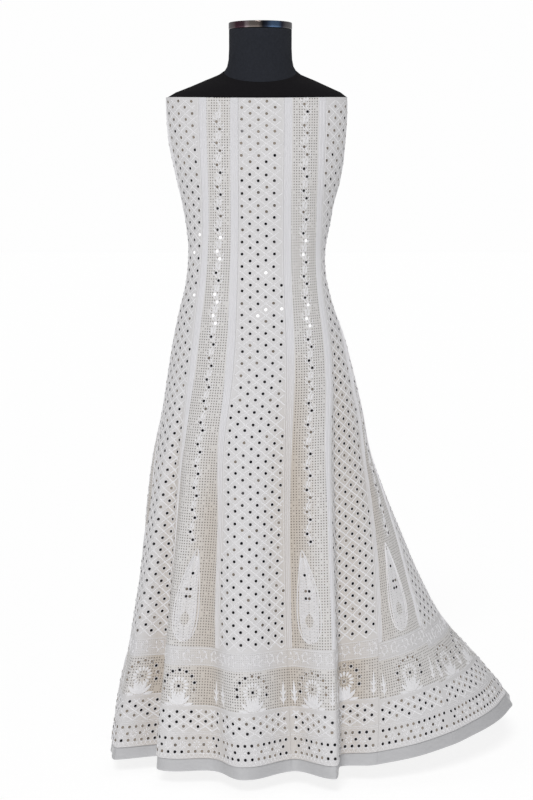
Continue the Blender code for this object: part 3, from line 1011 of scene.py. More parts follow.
def mirror_tone(panel, across, up):
    """The painted reflection on a mirror, from 0 for dark to 1 for a painted glint."""
    chance = draw.random(len(across))
    # painted reflection: a few mirrors at random are painted beige, the rest dark
    tone = np.where(chance > BEIGE_REFLECTION_FROM, BEIGE_REFLECTION_TONE + 0.5 * (chance - BEIGE_REFLECTION_FROM), chance * DARKEST_SHARE)
    in_top = np.clip((up - cuts[panel].up[-1] + TOP_ZONE) / TOP_ZONE_FADE, 0, 1) * TOP_ZONE_SHARE
    tone = np.where(draw.random(len(across)) < in_top, BEIGE_TONE + 0.12 * chance, tone)
    # painted reflection: patches of mirrors in the border are painted beige
    cloud = np.sin(across * 61 + panel) + np.sin(up * 83 + across * 37 + panel * 2)
    border_beige = (up < BORDER_TOP) & (cloud + chance > BORDER_BEIGE_LEVEL)
    tone = np.where(border_beige, BEIGE_TONE + 0.15 * chance, tone)
    glints_from = LATTICE_GLINTS_FROM if is_lattice(panel) else VINE_GLINTS_FROM
    # painted glint on mirrors round the waist
    return np.where((np.abs(up - GLINT_HEIGHT) < GLINT_REACH) & (chance > glints_from), 1.0, tone)


print("mirrors glint from", round(GLINT_HEIGHT - GLINT_REACH, 2), "to",
      round(GLINT_HEIGHT + GLINT_REACH, 2), "m up a panel")

# %% Setting mirrors on a panel
TILT = 0.10 * MM

Work = collections.namedtuple("Work", ("panel", "threads", "mirrors"))


def set_mirrors(work, centres):
    """Puts a mirror and its ring of stitches at each (across, up)."""
    centres = np.asarray(centres, float)
    count = len(centres)
    tone = mirror_tone(work.panel, *centres.T)
    angle = draw.random(count) * 2 * math.pi
    slant = np.column_stack([np.cos(angle), np.sin(angle)]) * TILT / MIRROR_RADIUS
    for stitching, points, faces in ((work.mirrors, mirror_points, mirror_faces),
                                     (work.threads, ring_points, ring_faces)):
        copies = np.tile(points, (count, 1, 1))
        copies[:, :, 2] += (copies[:, :, :2] * slant[:, None]).sum(-1)
        copies[:, :, :2] += centres[:, None]
        shift = len(points) * np.arange(count)[:, None, None]
        stitching.add(copies.reshape(-1, 3), (faces + shift).reshape(-1, 3), np.repeat(tone, len(points)))


print("mirrors tilt by up to", round(math.degrees(TILT / MIRROR_RADIUS), 1), "degrees")

# %% [markdown]
# ## The diamond lattice
# White threads cross in diamonds with a mirror in each. On the flat cut the threads are straight
# lines of constant a + b or a - b, where a counts cells across and b counts cells up.
# A line is cut where it meets the panel's edge.

# %% Lattice
CELL_FOOT, CELL_HEAD, CELL_TALL = 27 * MM, 32 * MM, 23.8 * MM
LATTICE_EDGE, LATTICE_STEP = 2.5 * MM, 5 * MM
LATTICE_THREAD, LATTICE_HEIGHT = 3.1 * MM, 0.6 * MM
COLUMNS_ASIDE = 8
HAND_SHIFT = 0.5 * MM


def inside_runs(line, inside):
    """The stretches of a line whose points lie inside."""
    marks = np.flatnonzero(np.diff(np.concatenate([[0], inside.astype(int), [0]])))
    for start, end in zip(marks[::2], marks[1::2]):
        if end - start > 1:
            yield line[start:end]


def cell_width(up):
    """The lattice's cells are a little narrower at the skirt's foot."""
    return CELL_FOOT + (CELL_HEAD - CELL_FOOT) * up / cuts[0].up[-1]


def stitch_lattice(work, low, high, cell_tall, phase=0.0):
    """A lattice between two heights, shifted sideways by a phase in cells."""
    up = np.arange(low, high, LATTICE_STEP)
    b = (up - low) / cell_tall
    limit = half_width(work.panel, up) - LATTICE_EDGE
    reach = math.ceil(float(half_width(work.panel, low)) / CELL_FOOT + b[-1]) + 1
    for slope in (-1, 1):
        for k in range(-reach, reach + 1):
            across = (k + 0.5 + phase + slope * b) * cell_width(up)
            for run in inside_runs(np.column_stack([across, up]), np.abs(across) < limit):
                work.threads.ridge(run, LATTICE_THREAD, LATTICE_HEIGHT)
    centres = []
    for half_row in range(int(2 * b[-1]) + 1):
        y = low + half_row * cell_tall / 2
        edge = float(half_width(work.panel, y)) - LATTICE_EDGE - MIRROR_RADIUS
        shift = 0.5 * (half_row % 2)
        for column in range(-COLUMNS_ASIDE, COLUMNS_ASIDE + 1):
            x = (column + phase + shift) * cell_width(y)
            if abs(x) < edge and low + MIRROR_RADIUS < y < high - MIRROR_RADIUS:
                centres.append((x, y))
    centres = np.array(centres)
    set_mirrors(work, centres + draw.normal(0.0, HAND_SHIFT, centres.shape))


print("lattice cell at the foot:", round(CELL_FOOT / MM), "by", CELL_TALL / MM, "mm")

# %% [markdown]
# ## The border
# The border is the same on all panels, from the scallops at the edge to the scroll band. What repeats
# is spread evenly over the panel's width at that height. Leaves mostly come in mirrored pairs, so
# a table in millimetres gives one pair a row.

# %% Lines, rows and pairs of leaves
LINE_POINTS, LINE_WIDTH, LINE_HEIGHT, LINE_INSET = 34, 1.5 * MM, 0.6 * MM, 0.8 * MM
EDGE_MARGIN = 3.0 * MM
LEAF_COLUMNS = ("aside", "lift", "angle", "length", "width", "curl", "height")


def spread(panel, up, pitch, inset=0.0):
    """Places across a panel at one height, about a pitch apart, centred on its middle."""
    half = float(half_width(panel, up)) - inset
    count = max(1, round(2 * half / pitch))
    return (np.arange(count) + 0.5) / count * 2 * half - half


def across_line(work, up):
    half = float(half_width(work.panel, up)) - LINE_INSET
    across = np.linspace(-half, half, LINE_POINTS)
    work.threads.ridge(np.column_stack([across, np.full(LINE_POINTS, up)]), LINE_WIDTH, LINE_HEIGHT)


def mirror_row(work, up, pitch):
    """A row of mirrors across the panel, whose places are given back."""
    middles = spread(work.panel, up, pitch, EDGE_MARGIN)
    set_mirrors(work, [(x, up) for x in middles])
    return middles


def leaf_pairs(work, centre, table, size=1.0):
    """Mirrored pairs of leaves about a centre, one pair for each row of a table."""
    for aside, lift, angle, length, width, curl, height in table.rows:
        for side in (-1, 1):
            foot = (centre[0] + side * aside * MM, centre[1] + lift * MM)
            work.threads.leaf(foot, side * angle, length * size * MM, width * size * MM, side * curl,
                              height * MM)


print("places of scallops on the centre panel:", len(spread(0, SCALLOP_TOP, 9 * MM)))

# %% Medallions and spindles
ARCH_RADIUS, ARCH_MIRRORS, ARCH_START = 30 * MM, 9, math.radians(-14)
HEART_RISE, HEART_RADIUS, HEART_PETALS, HEART_PETAL_WIDTH = 36 * MM, 20 * MM, 14, 6 * MM
MEDALLION_LEAVES = Table(
    LEAF_COLUMNS,
    (
        (0, 1, 0.62, 28, 11, -0.5, 1.2),
        (0, 1, 1.15, 30, 9, -0.7, 1.1),
        (0, 1, 0.20, 21, 8, 0.0, 1.1),
        (10, 1, 1.45, 20, 7, 0.0, 0.9),
    ),
)
SPINDLE_RISE, SPINDLE_TALL, SPINDLE_WIDE, SPINDLE_RINGS = 4 * MM, 46 * MM, 6 * MM, 8
SPINDLE_LEAVES = Table(LEAF_COLUMNS, ((0, 6, 0.7, 12, 3.4, -0.4, 0.9), (0, 18, 0.7, 12, 3.4, -0.4, 0.9)))


def stitch_medallion(work, middle):
    """An arch of mirrors over a blossom with a mirror for its heart, on broad leaves."""
    heart = (middle, MEDALLION_BAND[0] + HEART_RISE)
    angle = np.linspace(ARCH_START, math.pi - ARCH_START, ARCH_MIRRORS)
    set_mirrors(work, np.column_stack([heart[0] + ARCH_RADIUS * np.cos(angle),
                                       heart[1] + ARCH_RADIUS * np.sin(angle)]))
    set_mirrors(work, [heart])
    work.threads.blossom(heart, HEART_RADIUS, HEART_PETALS, HEART_PETAL_WIDTH, inner=0.5)
    leaf_pairs(work, (middle, MEDALLION_BAND[0]), MEDALLION_LEAVES)


def stitch_spindle(work, middle):
    """The slim pointed filler between two medallions."""
    foot = (middle, MEDALLION_BAND[0] + SPINDLE_RISE)
    work.threads.leaf(foot, 0.0, SPINDLE_TALL, SPINDLE_WIDE, rings=SPINDLE_RINGS)
    leaf_pairs(work, foot, SPINDLE_LEAVES)


print("an arch has", ARCH_MIRRORS, "mirrors")

# %% Scallops and scrolls
SCALLOP_REACH, SCALLOP_TALL, SCALLOP_POINTS = 4.2 * MM, 7 * MM, 7
CURL_TURN, CURL_WIDE, CURL_NARROW, CURL_POINTS = 1.6 * math.pi, 11 * MM, 3 * MM, 12
SCROLL_LEAVES, SCROLL_LEAF_FOOT, SCROLL_LEAF_TURN = 5, 6 * MM, 0.4


def stitch_scallop(work, middle):
    angle = np.linspace(-math.pi / 2, math.pi / 2, SCALLOP_POINTS)
    across, up = middle + SCALLOP_REACH * np.sin(angle), SCALLOP_TOP - SCALLOP_TALL * np.cos(angle)
    work.threads.ridge(np.column_stack([across, up]), 1.4 * MM, 0.45 * MM)


def stitch_scroll(work, middle, side):
    """One curl of the scroll band, turning to one side, with leaves round it."""
    centre = (middle, sum(SCROLL_BAND) / 2)
    t = np.linspace(0.0, 1.0, CURL_POINTS)
    angle = side * t * CURL_TURN
    radius = CURL_WIDE + (CURL_NARROW - CURL_WIDE) * t
    work.threads.ridge(np.column_stack(away(centre, radius, angle)), 2.0 * MM, 0.8 * MM)
    for step in range(SCROLL_LEAVES):
        turn = 2 * math.pi * step / SCROLL_LEAVES + SCROLL_LEAF_TURN
        foot = away(centre, SCROLL_LEAF_FOOT, turn)
        work.threads.leaf(foot, turn + side * 0.5, 7.5 * MM, 3.4 * MM, curl=side * 0.5, rings=PETAL_RINGS)


print("a scroll is", round(2 * CURL_WIDE / MM), "mm across")

# %% Whole border
SCALLOP_PITCH, FRAME_PITCH, MEDALLION_PITCH, SCROLL_PITCH = 9 * MM, 13 * MM, 122 * MM, 27 * MM
MEDALLION_MIDDLE = MEDALLION_BAND[0] + 20 * MM
NARROW_PANEL, SPINDLE_INSET = 0.052, 11 * MM
BORDER_LINES = (SCALLOP_TOP, *DOUBLE_LINE, BORDER_LATTICE[1] + 2 * MM, MEDALLION_BAND[1] + 1 * MM,
                SCROLL_BAND[1] + 1 * MM)


def stitch_border(work):
    for x in spread(work.panel, SCALLOP_TOP, SCALLOP_PITCH):
        stitch_scallop(work, x)
    for up in BORDER_LINES:
        across_line(work, up)
    low, middle, high = FRAME_ROWS
    mirror_row(work, low, FRAME_PITCH)
    mirror_row(work, high, FRAME_PITCH)
    row = mirror_row(work, middle, 2 * FRAME_PITCH)
    for x in row[:-1] + np.diff(row) / 2:
        work.threads.blossom((x, middle), 9 * MM, 8, 3.4 * MM)
    stitch_lattice(work, *BORDER_LATTICE, BORDER_CELL_TALL)
    medallions = spread(work.panel, MEDALLION_MIDDLE, MEDALLION_PITCH)
    for x in medallions:
        stitch_medallion(work, x)
    half = float(half_width(work.panel, MEDALLION_MIDDLE))
    if half > NARROW_PANEL:
        between_them = np.linspace(-half, half, len(medallions) + 1)
        for x in np.clip(between_them, SPINDLE_INSET - half, half - SPINDLE_INSET):
            stitch_spindle(work, x)
    for number, x in enumerate(spread(work.panel, SCROLL_BAND[0], SCROLL_PITCH)):
        stitch_scroll(work, x, -1 if number % 2 else 1)


print("border lines at", [round(up / MM, 1) for up in BORDER_LINES], "mm")

# %% [markdown]
# ## Vine, paisley and bands
# A dotted panel has a wavy white vine up its middle, with mirrors in pairs, and a tall paisley at its
# foot. The paisley is an outline with rows of satin stitch laid across it, as a hand would fill it,
# and a small window that lets the dotted ground show.

# %% Paisley
PAISLEY_FOOT, PAISLEY_TALL, PAISLEY_WIDE, PAISLEY_LEAN = BORDER_TOP + 10 * MM, 176 * MM, 54 * MM, 13 * MM
RIM_THREADS = ((1.0, 2.6 * MM), (0.80, 1.6 * MM))
FILL_PITCH, FILL_SHARE, FILL_SLANT = 2.6 * MM, 0.78, (0.0, 1.6 * MM, 3.4 * MM)
WINDOW_FOOT, WINDOW_TOP, WINDOW_HALF = PAISLEY_FOOT + 28 * MM, PAISLEY_FOOT + 58 * MM, 9 * MM
GROUP_SHARE, GROUP_ASIDE, GROUP_RISE = 0.52, 3.6 * MM, 7 * MM


def stitch_paisley(work, side):
    """A tall paisley whose tip leans to one side."""
    t = np.linspace(0.0, 1.0, 40)
    spine_up = PAISLEY_FOOT + PAISLEY_TALL * t
    spine_across = side * (2 * MM + PAISLEY_LEAN * t ** 2.2)
    half = PAISLEY_WIDE / 2 * np.sin(math.pi * t ** 0.62) ** 0.75 * (1 - 0.25 * t)
    for share, width in RIM_THREADS:
        left = np.column_stack([spine_across - half * share, spine_up])
        right = np.column_stack([spine_across + half * share, spine_up])
        work.threads.ridge(np.concatenate([left, right[-2:0:-1]]), width, 1.1 * MM)
    for y in np.arange(PAISLEY_FOOT + 3 * MM, PAISLEY_FOOT + 0.93 * PAISLEY_TALL, FILL_PITCH):
        centre = np.interp(y, spine_up, spine_across)
        reach = np.interp(y, spine_up, half) * FILL_SHARE
        in_window = np.clip((y - WINDOW_FOOT) / (WINDOW_TOP - WINDOW_FOOT), 0.0, 1.0)
        hole = max(WINDOW_HALF * math.sin(math.pi * in_window), 0.3 * MM)
        if reach - hole > 2 * MM:
            for way in (-1, 1):
                across = centre + way * np.linspace(hole, reach, 3)
                line = np.column_stack([across, y - np.array(FILL_SLANT)])
                work.threads.ridge(line, FILL_PITCH * 0.95, 0.8 * MM)
    group = PAISLEY_FOOT + GROUP_SHARE * PAISLEY_TALL
    centre = float(np.interp(group, spine_up, spine_across))
    square = [(centre + x * GROUP_ASIDE, group + y * GROUP_RISE) for x in (-1, 1) for y in (-1, 1)]
    set_mirrors(work, square + [(centre + side * 5 * MM, group + 37 * MM)])


print("paisley:", round(PAISLEY_TALL / MM), "mm tall")

# %% Vine and side threads
VINE_PITCH, VINE_SWAY, VINE_STEP = 42 * MM, 4 * MM, 4 * MM
VINE_START, VINE_END, VINE_MIRROR_ASIDE = PAISLEY_FOOT + PAISLEY_TALL + 8 * MM, 4 * MM, 3.2 * MM
VINE_HEIGHTS, VINE_SIZES = (0.50, 0.80), (0.70, 1.05)
MIRROR_LEAVES = Table(LEAF_COLUMNS, ((3, -4, 0.9, 9.5, 3.4, -0.7, 0.6), (3, 5, 0.9, 9.5, 3.4, -0.7, 0.6)))
STEM_LEAVES = Table(LEAF_COLUMNS, ((0, 22, 0.55, 15, 4.4, -0.9, 0.6), (1.5, 29, 1.1, 9, 2.8, 0.0, 0.6)))
SIDE_THREAD_WIDE, SIDE_THREAD_OUT, SIDE_THREAD_STEP = 1.3 * MM, 0.55 * MM, 9 * MM


def stitch_vine(work):
    top = cuts[work.panel].up[-1] - VINE_END
    up = np.arange(VINE_START, top, VINE_STEP)
    sway = VINE_SWAY * np.sin(2 * math.pi * (up - VINE_START) / VINE_PITCH)
    work.threads.ridge(np.column_stack([sway, up]), 3.2 * MM, 0.8 * MM)
    centres = []
    for base in np.arange(VINE_START + 8 * MM, top - 20 * MM, VINE_PITCH):
        size = float(np.interp(base, VINE_HEIGHTS, VINE_SIZES))
        for centre in ((VINE_MIRROR_ASIDE, base), (-VINE_MIRROR_ASIDE, base + 15 * MM)):
            centres.append(centre)
            leaf_pairs(work, centre, MIRROR_LEAVES, size)
        leaf_pairs(work, (0.0, base), STEM_LEAVES, size)
    set_mirrors(work, centres)


def side_threads(work, edge, start=0.0):
    """A thread up both sides of a panel, at a distance from its seams."""
    up = np.arange(max(start, BORDER_TOP + 1 * MM), cuts[work.panel].up[-1] - 1 * MM, SIDE_THREAD_STEP)
    for side in (-1, 1):
        line = np.column_stack([side * (half_width(work.panel, up) - edge), up])
        work.threads.ridge(line, SIDE_THREAD_WIDE, SIDE_THREAD_OUT)


print("the vine starts", round(VINE_START, 3), "m up a panel")

# %% [markdown]
# ## Thread and mirror finishes
# The thread is soft white cotton, a shade brighter than the cloth, with the fine slant of its twist.
# The mirrors are silvered glass with painted reflections: dark where they face the unlit room and
# bright where one catches the light, which the tone given to each mirror decides. A glinting mirror glows.

# %% Thread and mirror finishes
THREAD_PALE, THREAD_DARK = rgb(0.850, 0.845, 0.870), rgb(0.770, 0.762, 0.776)
# painted reflections of the mirrors, from dark through beige to a white glint
MIRROR_TONES = (
    (0.00, rgb(0.008, 0.008, 0.011)),
    (0.58, rgb(0.045, 0.040, 0.040)),
    (0.70, rgb(0.170, 0.145, 0.120)),
    (0.85, rgb(0.300, 0.260, 0.220)),
    (1.00, rgb(0.950, 0.950, 0.950)),
)


def thread_finish():
    finish = Finish("cotton_thread", {"Specular IOR Level": 0.3, "Sheen Weight": 0.35})
    across, up = finish.cloth_place()
    cloud = finish.noise(finish.join(across, up), 60.0)
    relief = finish.bump(finish.waves(across + up, 0.9 * MM), 0.08 * MM)
    return finish.wear(Base_Color=finish.colour_mix(cloud, THREAD_PALE, THREAD_DARK),
                       Roughness=0.62 + cloud * 0.15, Normal=relief)


def mirror_finish():
    finish = Finish("mirror_glass", {"Specular IOR Level": 0.2, "Emission Strength": 0.35})
    tone = finish.attribute("tone")
    colour = finish.node("ValToRGB", {"stops": MIRROR_TONES}, {"Fac": tone})
    glint, beige_reflection = finish.past(tone, 0.93, 0.05), finish.past(tone, 0.62, 1 / 12)
    # painted glint: glinting mirrors glow white
    glow = finish.colour_mix(glint, rgb(0.0, 0.0, 0.0), rgb(1.0, 1.0, 1.0))
    scratch = finish.noise(finish.join(*finish.cloth_place()), 400.0)
    return finish.wear(Base_Color=colour, Metallic=0.35 - beige_reflection * 0.25,
                       Roughness=0.12 + beige_reflection * 0.40 + scratch * 0.12, Emission_Color=glow)


cotton_thread = thread_finish()
mirror_glass = mirror_finish()
print("finishes:", cotton_thread.name, mirror_glass.name)

# %% Stitch every panel
CENTRE_PHASE = -0.18
LATTICE_SIDE_THREAD = 2.4 * MM
BAND_THREADS = Table(
    ("edge", "start"),
    ((1.6 * MM, 0.0), (5.2 * MM, 0.0), (8.8 * MM, 0.0), (12.0 * MM, 0.58), (15.2 * MM, 0.72)),
)
THREAD_SMOOTH, GLASS_SMOOTH = 50.0, 25.0
shown_mirrors, shown_faces = 0, 0

for panel, cut in cuts.items():
    name = panel_name(panel)
    work = Work(panel, threads=Stitching(), mirrors=Stitching())
    stitch_border(work)
    if is_lattice(panel):
        phase = CENTRE_PHASE if panel == 0 else 0.0
        stitch_lattice(work, BORDER_TOP + 2 * MM, cut.up[-1] - 2 * MM, CELL_TALL, phase)
        side_threads(work, LATTICE_SIDE_THREAD)
    else:
        stitch_paisley(work, 1 if panel < 0 else -1)
        stitch_vine(work)
        for edge, start in BAND_THREADS.rows:
            side_threads(work, edge, start)
    stitched = work.threads.hang("embroidery_" + name, panel, cotton_thread, "white_thread", THREAD_SMOOTH)
    glass = work.mirrors.hang("mirrors_" + name, panel, mirror_glass, "mirror_disc", GLASS_SMOOTH)
    flat_size(cut)
    flat_area(cut)
    shown_mirrors += work.mirrors.count // len(mirror_points)
    shown_faces += len(stitched.data.polygons) + len(glass.data.polygons)
print("mirrors:", shown_mirrors, "faces of thread and glass:", shown_faces)

# %% [markdown]
# ## The dress form
# The body is padded and covered in black jersey, and the gown rests on its chest. It is lofted
# through rings, each with its own reach to the front and back. Where the gown covers it, it stays
# a little inside the cloth.

# %% Rings of the dress form
FORM_SEGMENTS = 96
CLOTH_WALL, FORM_CLEARANCE, TO_CLOTH = 2.0 * MM, 0.5 * MM, 1.0
NECK_RADIUS, NECK_TOP = 0.0612, 1.4185
BODY = Table(
    ("height", "half_width", "shift", "front", "back", "tilt"),
    (
        (0.800, 0.1440, -0.003, 0.1120, 0.1180, 0.0),
        (0.806, 0.1500, -0.003, 0.1180, 0.1240, 0.0),
        (0.840, 0.1460, -0.003, 0.1160, 0.1200, 0.0),
        (0.880, 0.1320, -0.003, 0.1070, 0.1050, 0.0),
        (0.920, 0.1220, -0.003, 0.0960, 0.0920, 0.0),
        (0.960, 0.1150, -0.003, 0.0900, 0.0830, 0.0),
        (1.015, 0.1190, -0.003, 0.0930, 0.0820, 0.0),
        (1.065, 0.1310, -0.004, 0.1050, 0.0870, 0.0),
        (1.110, 0.1420, -0.004, TO_CLOTH, 0.0940, 0.0),
        (1.145, 0.1510, -0.005, TO_CLOTH, TO_CLOTH, 0.0),
        (1.180, 0.1580, -0.006, TO_CLOTH, TO_CLOTH, 0.0),
        (1.215, 0.1630, -0.006, TO_CLOTH, TO_CLOTH, 0.0),
        (1.250, 0.1690, -0.006, TO_CLOTH, TO_CLOTH, 0.0),
        (1.288, 0.1762, -0.006, 0.0835, 0.0795, 0.0),
        (1.298, 0.1612, -0.004, 0.0805, 0.0775, 0.02),
        (1.309, 0.1350, -0.002, 0.0780, 0.0755, 0.07),
        (1.320, 0.1090, -0.001, 0.0755, 0.0735, 0.15),
        (1.329, 0.0830, -0.001, 0.0730, 0.0710, 0.24),
        (1.337, 0.0705, 0.0, 0.0700, 0.0685, 0.32),
    ),
)
NECK = Table(
    BODY.columns,
    (
        (1.3373, 0.0705, 0.0, 0.0700, 0.0685, 0.32),
        (1.3473, 0.0650, 0.0, 0.0650, 0.0645, 0.25),
        (1.3613, 0.0622, 0.0, 0.0622, 0.0622, 0.12),
        (1.3833, NECK_RADIUS, 0.0, NECK_RADIUS, NECK_RADIUS, 0.0),
        (1.4018, NECK_RADIUS, 0.0, NECK_RADIUS, NECK_RADIUS, 0.0),
        (NECK_TOP, NECK_RADIUS, 0.0, NECK_RADIUS, NECK_RADIUS, 0.0),
    ),
)


def form_ring(row):
    """One ring of the dress form, kept inside the cloth where the gown covers it."""
    height, half, shift, front, back, tilt = row
    if height <= TOP_EDGE:
        wall = CLOTH_WALL + FORM_CLEARANCE
        dipped = min(height + TOP_EDGE_DIP, TOP_EDGE)
        front = min([front] + [smooth_read(OUTLINE, "front", level) - wall for level in (height, dipped)])
        back = min(back, smooth_read(OUTLINE, "back", height) - wall)
    turn = np.arange(FORM_SEGMENTS) * 2 * math.pi / FORM_SEGMENTS
    y = -np.where(np.cos(turn) > 0, front, back) * np.cos(turn)
    return np.stack([shift + half * np.sin(turn), y, height + tilt * y], -1)


print("the form's neck is", round(2 * NECK_RADIUS / MM), "mm across")

# %% Dress form body and neck
JERSEY_BLACK, NECK_BLACK = rgb(0.0078, 0.0072, 0.0084), rgb(0.0205, 0.0225, 0.0285)
LINT_SHINES = 1.9


def lighter(colour, times):
    return rgb(*(times * level for level in colour[:3]))


def jersey_finish(name, colour, pitch):
    """Fine knit: rows of small loops over the surface, with a little pale lint."""
    finish = Finish(name, {"Specular IOR Level": 0.05, "Sheen Weight": 0.02, "Sheen Roughness": 0.5})
    place = finish.object_place()
    x, _, z = finish.split(place)
    lint = finish.noise(place, 220.0, 4.0)
    tint = finish.colour_mix(lint * 0.6, colour, lighter(colour, LINT_SHINES))
    relief = finish.bump(finish.waves(z, pitch) + finish.waves(x, pitch) * 0.6 + lint * 0.8, 0.15 * MM)
    return finish.wear(Base_Color=tint, Roughness=0.78 + lint * 0.15, Normal=relief)


def loft(name, table, finish, node):
    """A closed solid through a table's rings, which stands for one node of the frame."""
    rings = np.stack([form_ring(row) for row in table.rows])
    index = np.arange(rings[..., 0].size).reshape(rings.shape[:2])
    after = np.roll(index, -1, axis=1)
    walls = np.stack([index[:-1].ravel(), after[:-1].ravel(), after[1:].ravel(), index[1:].ravel()], -1)
    right, left = index[:, :FORM_SEGMENTS // 2], index[:, :FORM_SEGMENTS // 2 - 1:-1]
    top = np.stack([right[-1, :-1], right[-1, 1:], left[-1, 1:], left[-1, :-1]], -1)
    bottom = np.stack([right[0, :-1], left[0, :-1], left[0, 1:], right[0, 1:]], -1)
    piece = mesh_piece(name, rings.reshape(-1, 3), np.concatenate([walls, bottom, top]), finish)
    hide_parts(node)


black_jersey = jersey_finish("black_jersey", JERSEY_BLACK, 1.2 * MM)
neck_jersey = jersey_finish("neck_jersey", NECK_BLACK, 0.9 * MM)
loft("form_body_cover", BODY, black_jersey, "form_body")
loft("form_neck_cover", NECK, neck_jersey, "form_neck")
print("rings of the body:", len(BODY.rows), "and of the neck:", len(NECK.rows))

# %% [markdown]
# ## Turned metal: cap, flange, pole, collar and base
# These are turned on a lathe, so each is a circle drawn out along a profile: extrude a ring, scale it
# to the next radius, lift it, and go on. Their edges are broken by a small bevel, as on real metal.

# %% A turned piece
TURNED_SEGMENTS, BROKEN_EDGE, BEVEL_STEPS = 96, 0.6 * MM, 3
BEVEL_ANGLE, SMOOTH_ANGLE = math.radians(30), math.radians(35)


def turned(name, profile, finish, node):
    """A closed solid turned round the pole, through (radius, height) pairs from the bottom up."""
    bpy.ops.object.select_all(action="DESELECT")
    radius, height = profile[0]
    bpy.ops.mesh.primitive_circle_add(vertices=TURNED_SEGMENTS, radius=radius, fill_type="NGON",
                                      location=(0.0, 0.0, height))
    piece = bpy.context.object
    piece.name = name
    bpy.ops.object.mode_set(mode="EDIT")
    bpy.ops.mesh.select_all(action="SELECT")
    bpy.ops.mesh.flip_normals()
    for (old_radius, old_height), (new_radius, new_height) in zip(profile, profile[1:]):
        bpy.ops.mesh.extrude_region_move(
            TRANSFORM_OT_translate={"value": (0.0, 0.0, new_height - old_height)})
        share = new_radius / old_radius
        bpy.ops.transform.resize(value=(share, share, 1.0), center_override=(0.0, 0.0, new_height))
    bpy.ops.mesh.select_all(action="SELECT")
    bpy.ops.mesh.normals_make_consistent(inside=False)
    bpy.ops.object.mode_set(mode="OBJECT")
    bpy.ops.object.transform_apply(location=True, rotation=True, scale=True)
    edges = piece.modifiers.new("broken edges", "BEVEL")
    edges.width, edges.segments, edges.angle_limit = BROKEN_EDGE, BEVEL_STEPS, BEVEL_ANGLE
    bpy.ops.object.modifier_apply(modifier=edges.name)
    bpy.ops.object.shade_smooth_by_angle(angle=SMOOTH_ANGLE)
    piece.data.materials.clear()
    piece.data.materials.append(finish)
    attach(piece, "root")
    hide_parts(node)


print("broken edges are", round(BROKEN_EDGE / MM, 1), "mm wide")

# %% Steel and paint
STEEL, DULL_SHARE, STEEL_ROUGHNESS, STREAKS = rgb(0.56, 0.56, 0.57), 0.75, 0.28, 0.25
PAINT_BLACK, PAINT_DUST = rgb(0.022, 0.022, 0.023), rgb(0.05, 0.05, 0.05)


def turning_marks(finish, z):
    """Fine rings round the axis, as a lathe leaves them."""
    return finish.node("TexNoise", {"noise_dimensions": "1D"},
                       {"W": z * 900.0, "Scale": 1.0, "Detail": 3.0})


def steel_finish():
    """Turned steel, whose rings vary its roughness."""
    finish = Finish("brushed_steel", {"Metallic": 1.0})
    place = finish.object_place()
    marks = turning_marks(finish, finish.split(place)[2])
    smudge = finish.noise(place, 18.0)
    tint = finish.colour_mix(smudge * 0.6, STEEL, lighter(STEEL, DULL_SHARE))
    return finish.wear(Base_Color=tint, Normal=finish.bump(marks, 0.03 * MM),
                       Roughness=STEEL_ROUGHNESS + (marks - 0.5) * STREAKS + smudge * 0.06)


def paint_finish():
    """Satin black powder paint, with a faint orange-peel surface."""
    finish = Finish("satin_black_paint", {"Specular IOR Level": 0.5})
    place = finish.object_place()
    dust, peel = finish.noise(place, 25.0, 4.0), finish.noise(place, 450.0)
    return finish.wear(Base_Color=finish.colour_mix(dust * 0.5, PAINT_BLACK, PAINT_DUST),
                       Roughness=0.38 + dust * 0.2, Normal=finish.bump(peel, 0.06 * MM))


brushed_steel, black_paint = steel_finish(), paint_finish()
print("finishes:", brushed_steel.name, black_paint.name)
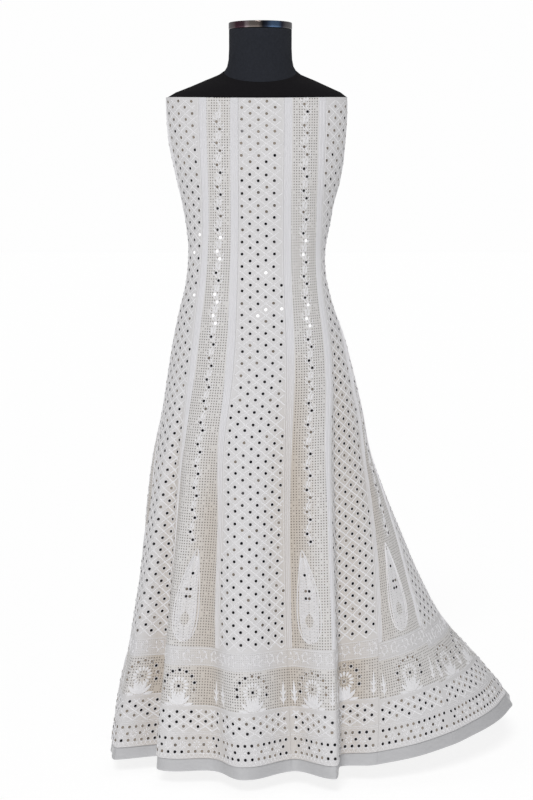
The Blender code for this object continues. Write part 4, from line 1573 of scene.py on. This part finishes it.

# %% [markdown]
# The cap is polished chrome. Reflections are painted round its band, from rose brown on the left to
# steel blue on the right, and painted shade darkens its lower rim. The crown is plain.

# %% Chrome with painted reflections
CAP_BOTTOM, CAP_RADIUS = NECK_TOP + 0.3 * MM, 0.0618
RIM_TALL, RIM_SHADE = 1.6 * MM, rgb(0.01, 0.01, 0.01)
CROWN_RISE, CROWN_TINT = 13.2 * MM, rgb(0.25, 0.235, 0.235)
PAINTED_BAND_REFLECTIONS = (
    (0.00, rgb(0.26, 0.25, 0.26)), (0.09, rgb(0.22, 0.17, 0.18)), (0.12, rgb(0.11, 0.05, 0.07)),
    (0.24, rgb(0.12, 0.07, 0.09)), (0.28, rgb(0.46, 0.38, 0.40)), (0.34, rgb(0.28, 0.24, 0.22)),
    (0.47, rgb(0.24, 0.20, 0.18)), (0.54, rgb(0.02, 0.02, 0.025)), (0.60, rgb(0.04, 0.05, 0.08)),
    (0.68, rgb(0.13, 0.21, 0.36)), (0.78, rgb(0.12, 0.20, 0.34)), (0.84, rgb(0.045, 0.045, 0.07)),
    (0.91, rgb(0.22, 0.21, 0.22)), (1.00, rgb(0.26, 0.25, 0.26)),
)


def smoked_finish():
    finish = Finish("chrome_with_painted_reflections", {"Metallic": 1.0})
    x, _, z = finish.split(finish.object_place())
    # painted reflections: colours that change round the band
    tint = finish.node("ValToRGB", {"stops": PAINTED_BAND_REFLECTIONS}, {"Fac": x / (2 * CAP_RADIUS) + 0.5})
    tint = finish.colour_mix(finish.past(z, CAP_BOTTOM + CROWN_RISE), tint, CROWN_TINT)
    # painted shade on the cap's lower rim
    tint = finish.colour_mix(finish.past(CAP_BOTTOM + RIM_TALL, z) * 0.9, tint, RIM_SHADE)
    return finish.wear(Base_Color=tint, Roughness=0.12 + turning_marks(finish, z) * 0.10)


chrome_with_painted_reflections = smoked_finish()
print("finish:", chrome_with_painted_reflections.name, "with", len(PAINTED_BAND_REFLECTIONS), "tints")

# %% Turned pieces
CAP_PROFILE = Table(
    ("inset", "rise"),
    ((1.2, 0.0), (0.0, 1.0), (0.0, 12.6), (1.2, 13.6), (5.0, 14.2), (27.8, 15.2), (51.8, 15.6)),
)
POLE_RADIUS = 0.016

turned("form_cap", [(CAP_RADIUS - inset * MM, CAP_BOTTOM + rise * MM) for inset, rise in CAP_PROFILE.rows],
       chrome_with_painted_reflections, "neck_cap")
turned("form_flange", ((0.027, 0.7877), (0.045, 0.7937), (0.045, 0.7997)),
       black_paint, "body_flange")
turned("form_pole", ((POLE_RADIUS, 0.0606), (POLE_RADIUS, 0.7874)),
       brushed_steel, "stand_pole")
turned("form_collar", ((0.034, 0.0103), (0.034, 0.0163), (0.021, 0.0588), (0.0195, 0.0603)),
       black_paint, "base_collar")
turned("form_base", ((0.170, 0.0), (0.170, 0.0075), (0.1675, 0.010)),
       black_paint, "stand_base")
print("the cap's band is", round(CAP_PROFILE.rows[2][1] - CAP_PROFILE.rows[1][1], 1), "mm tall")
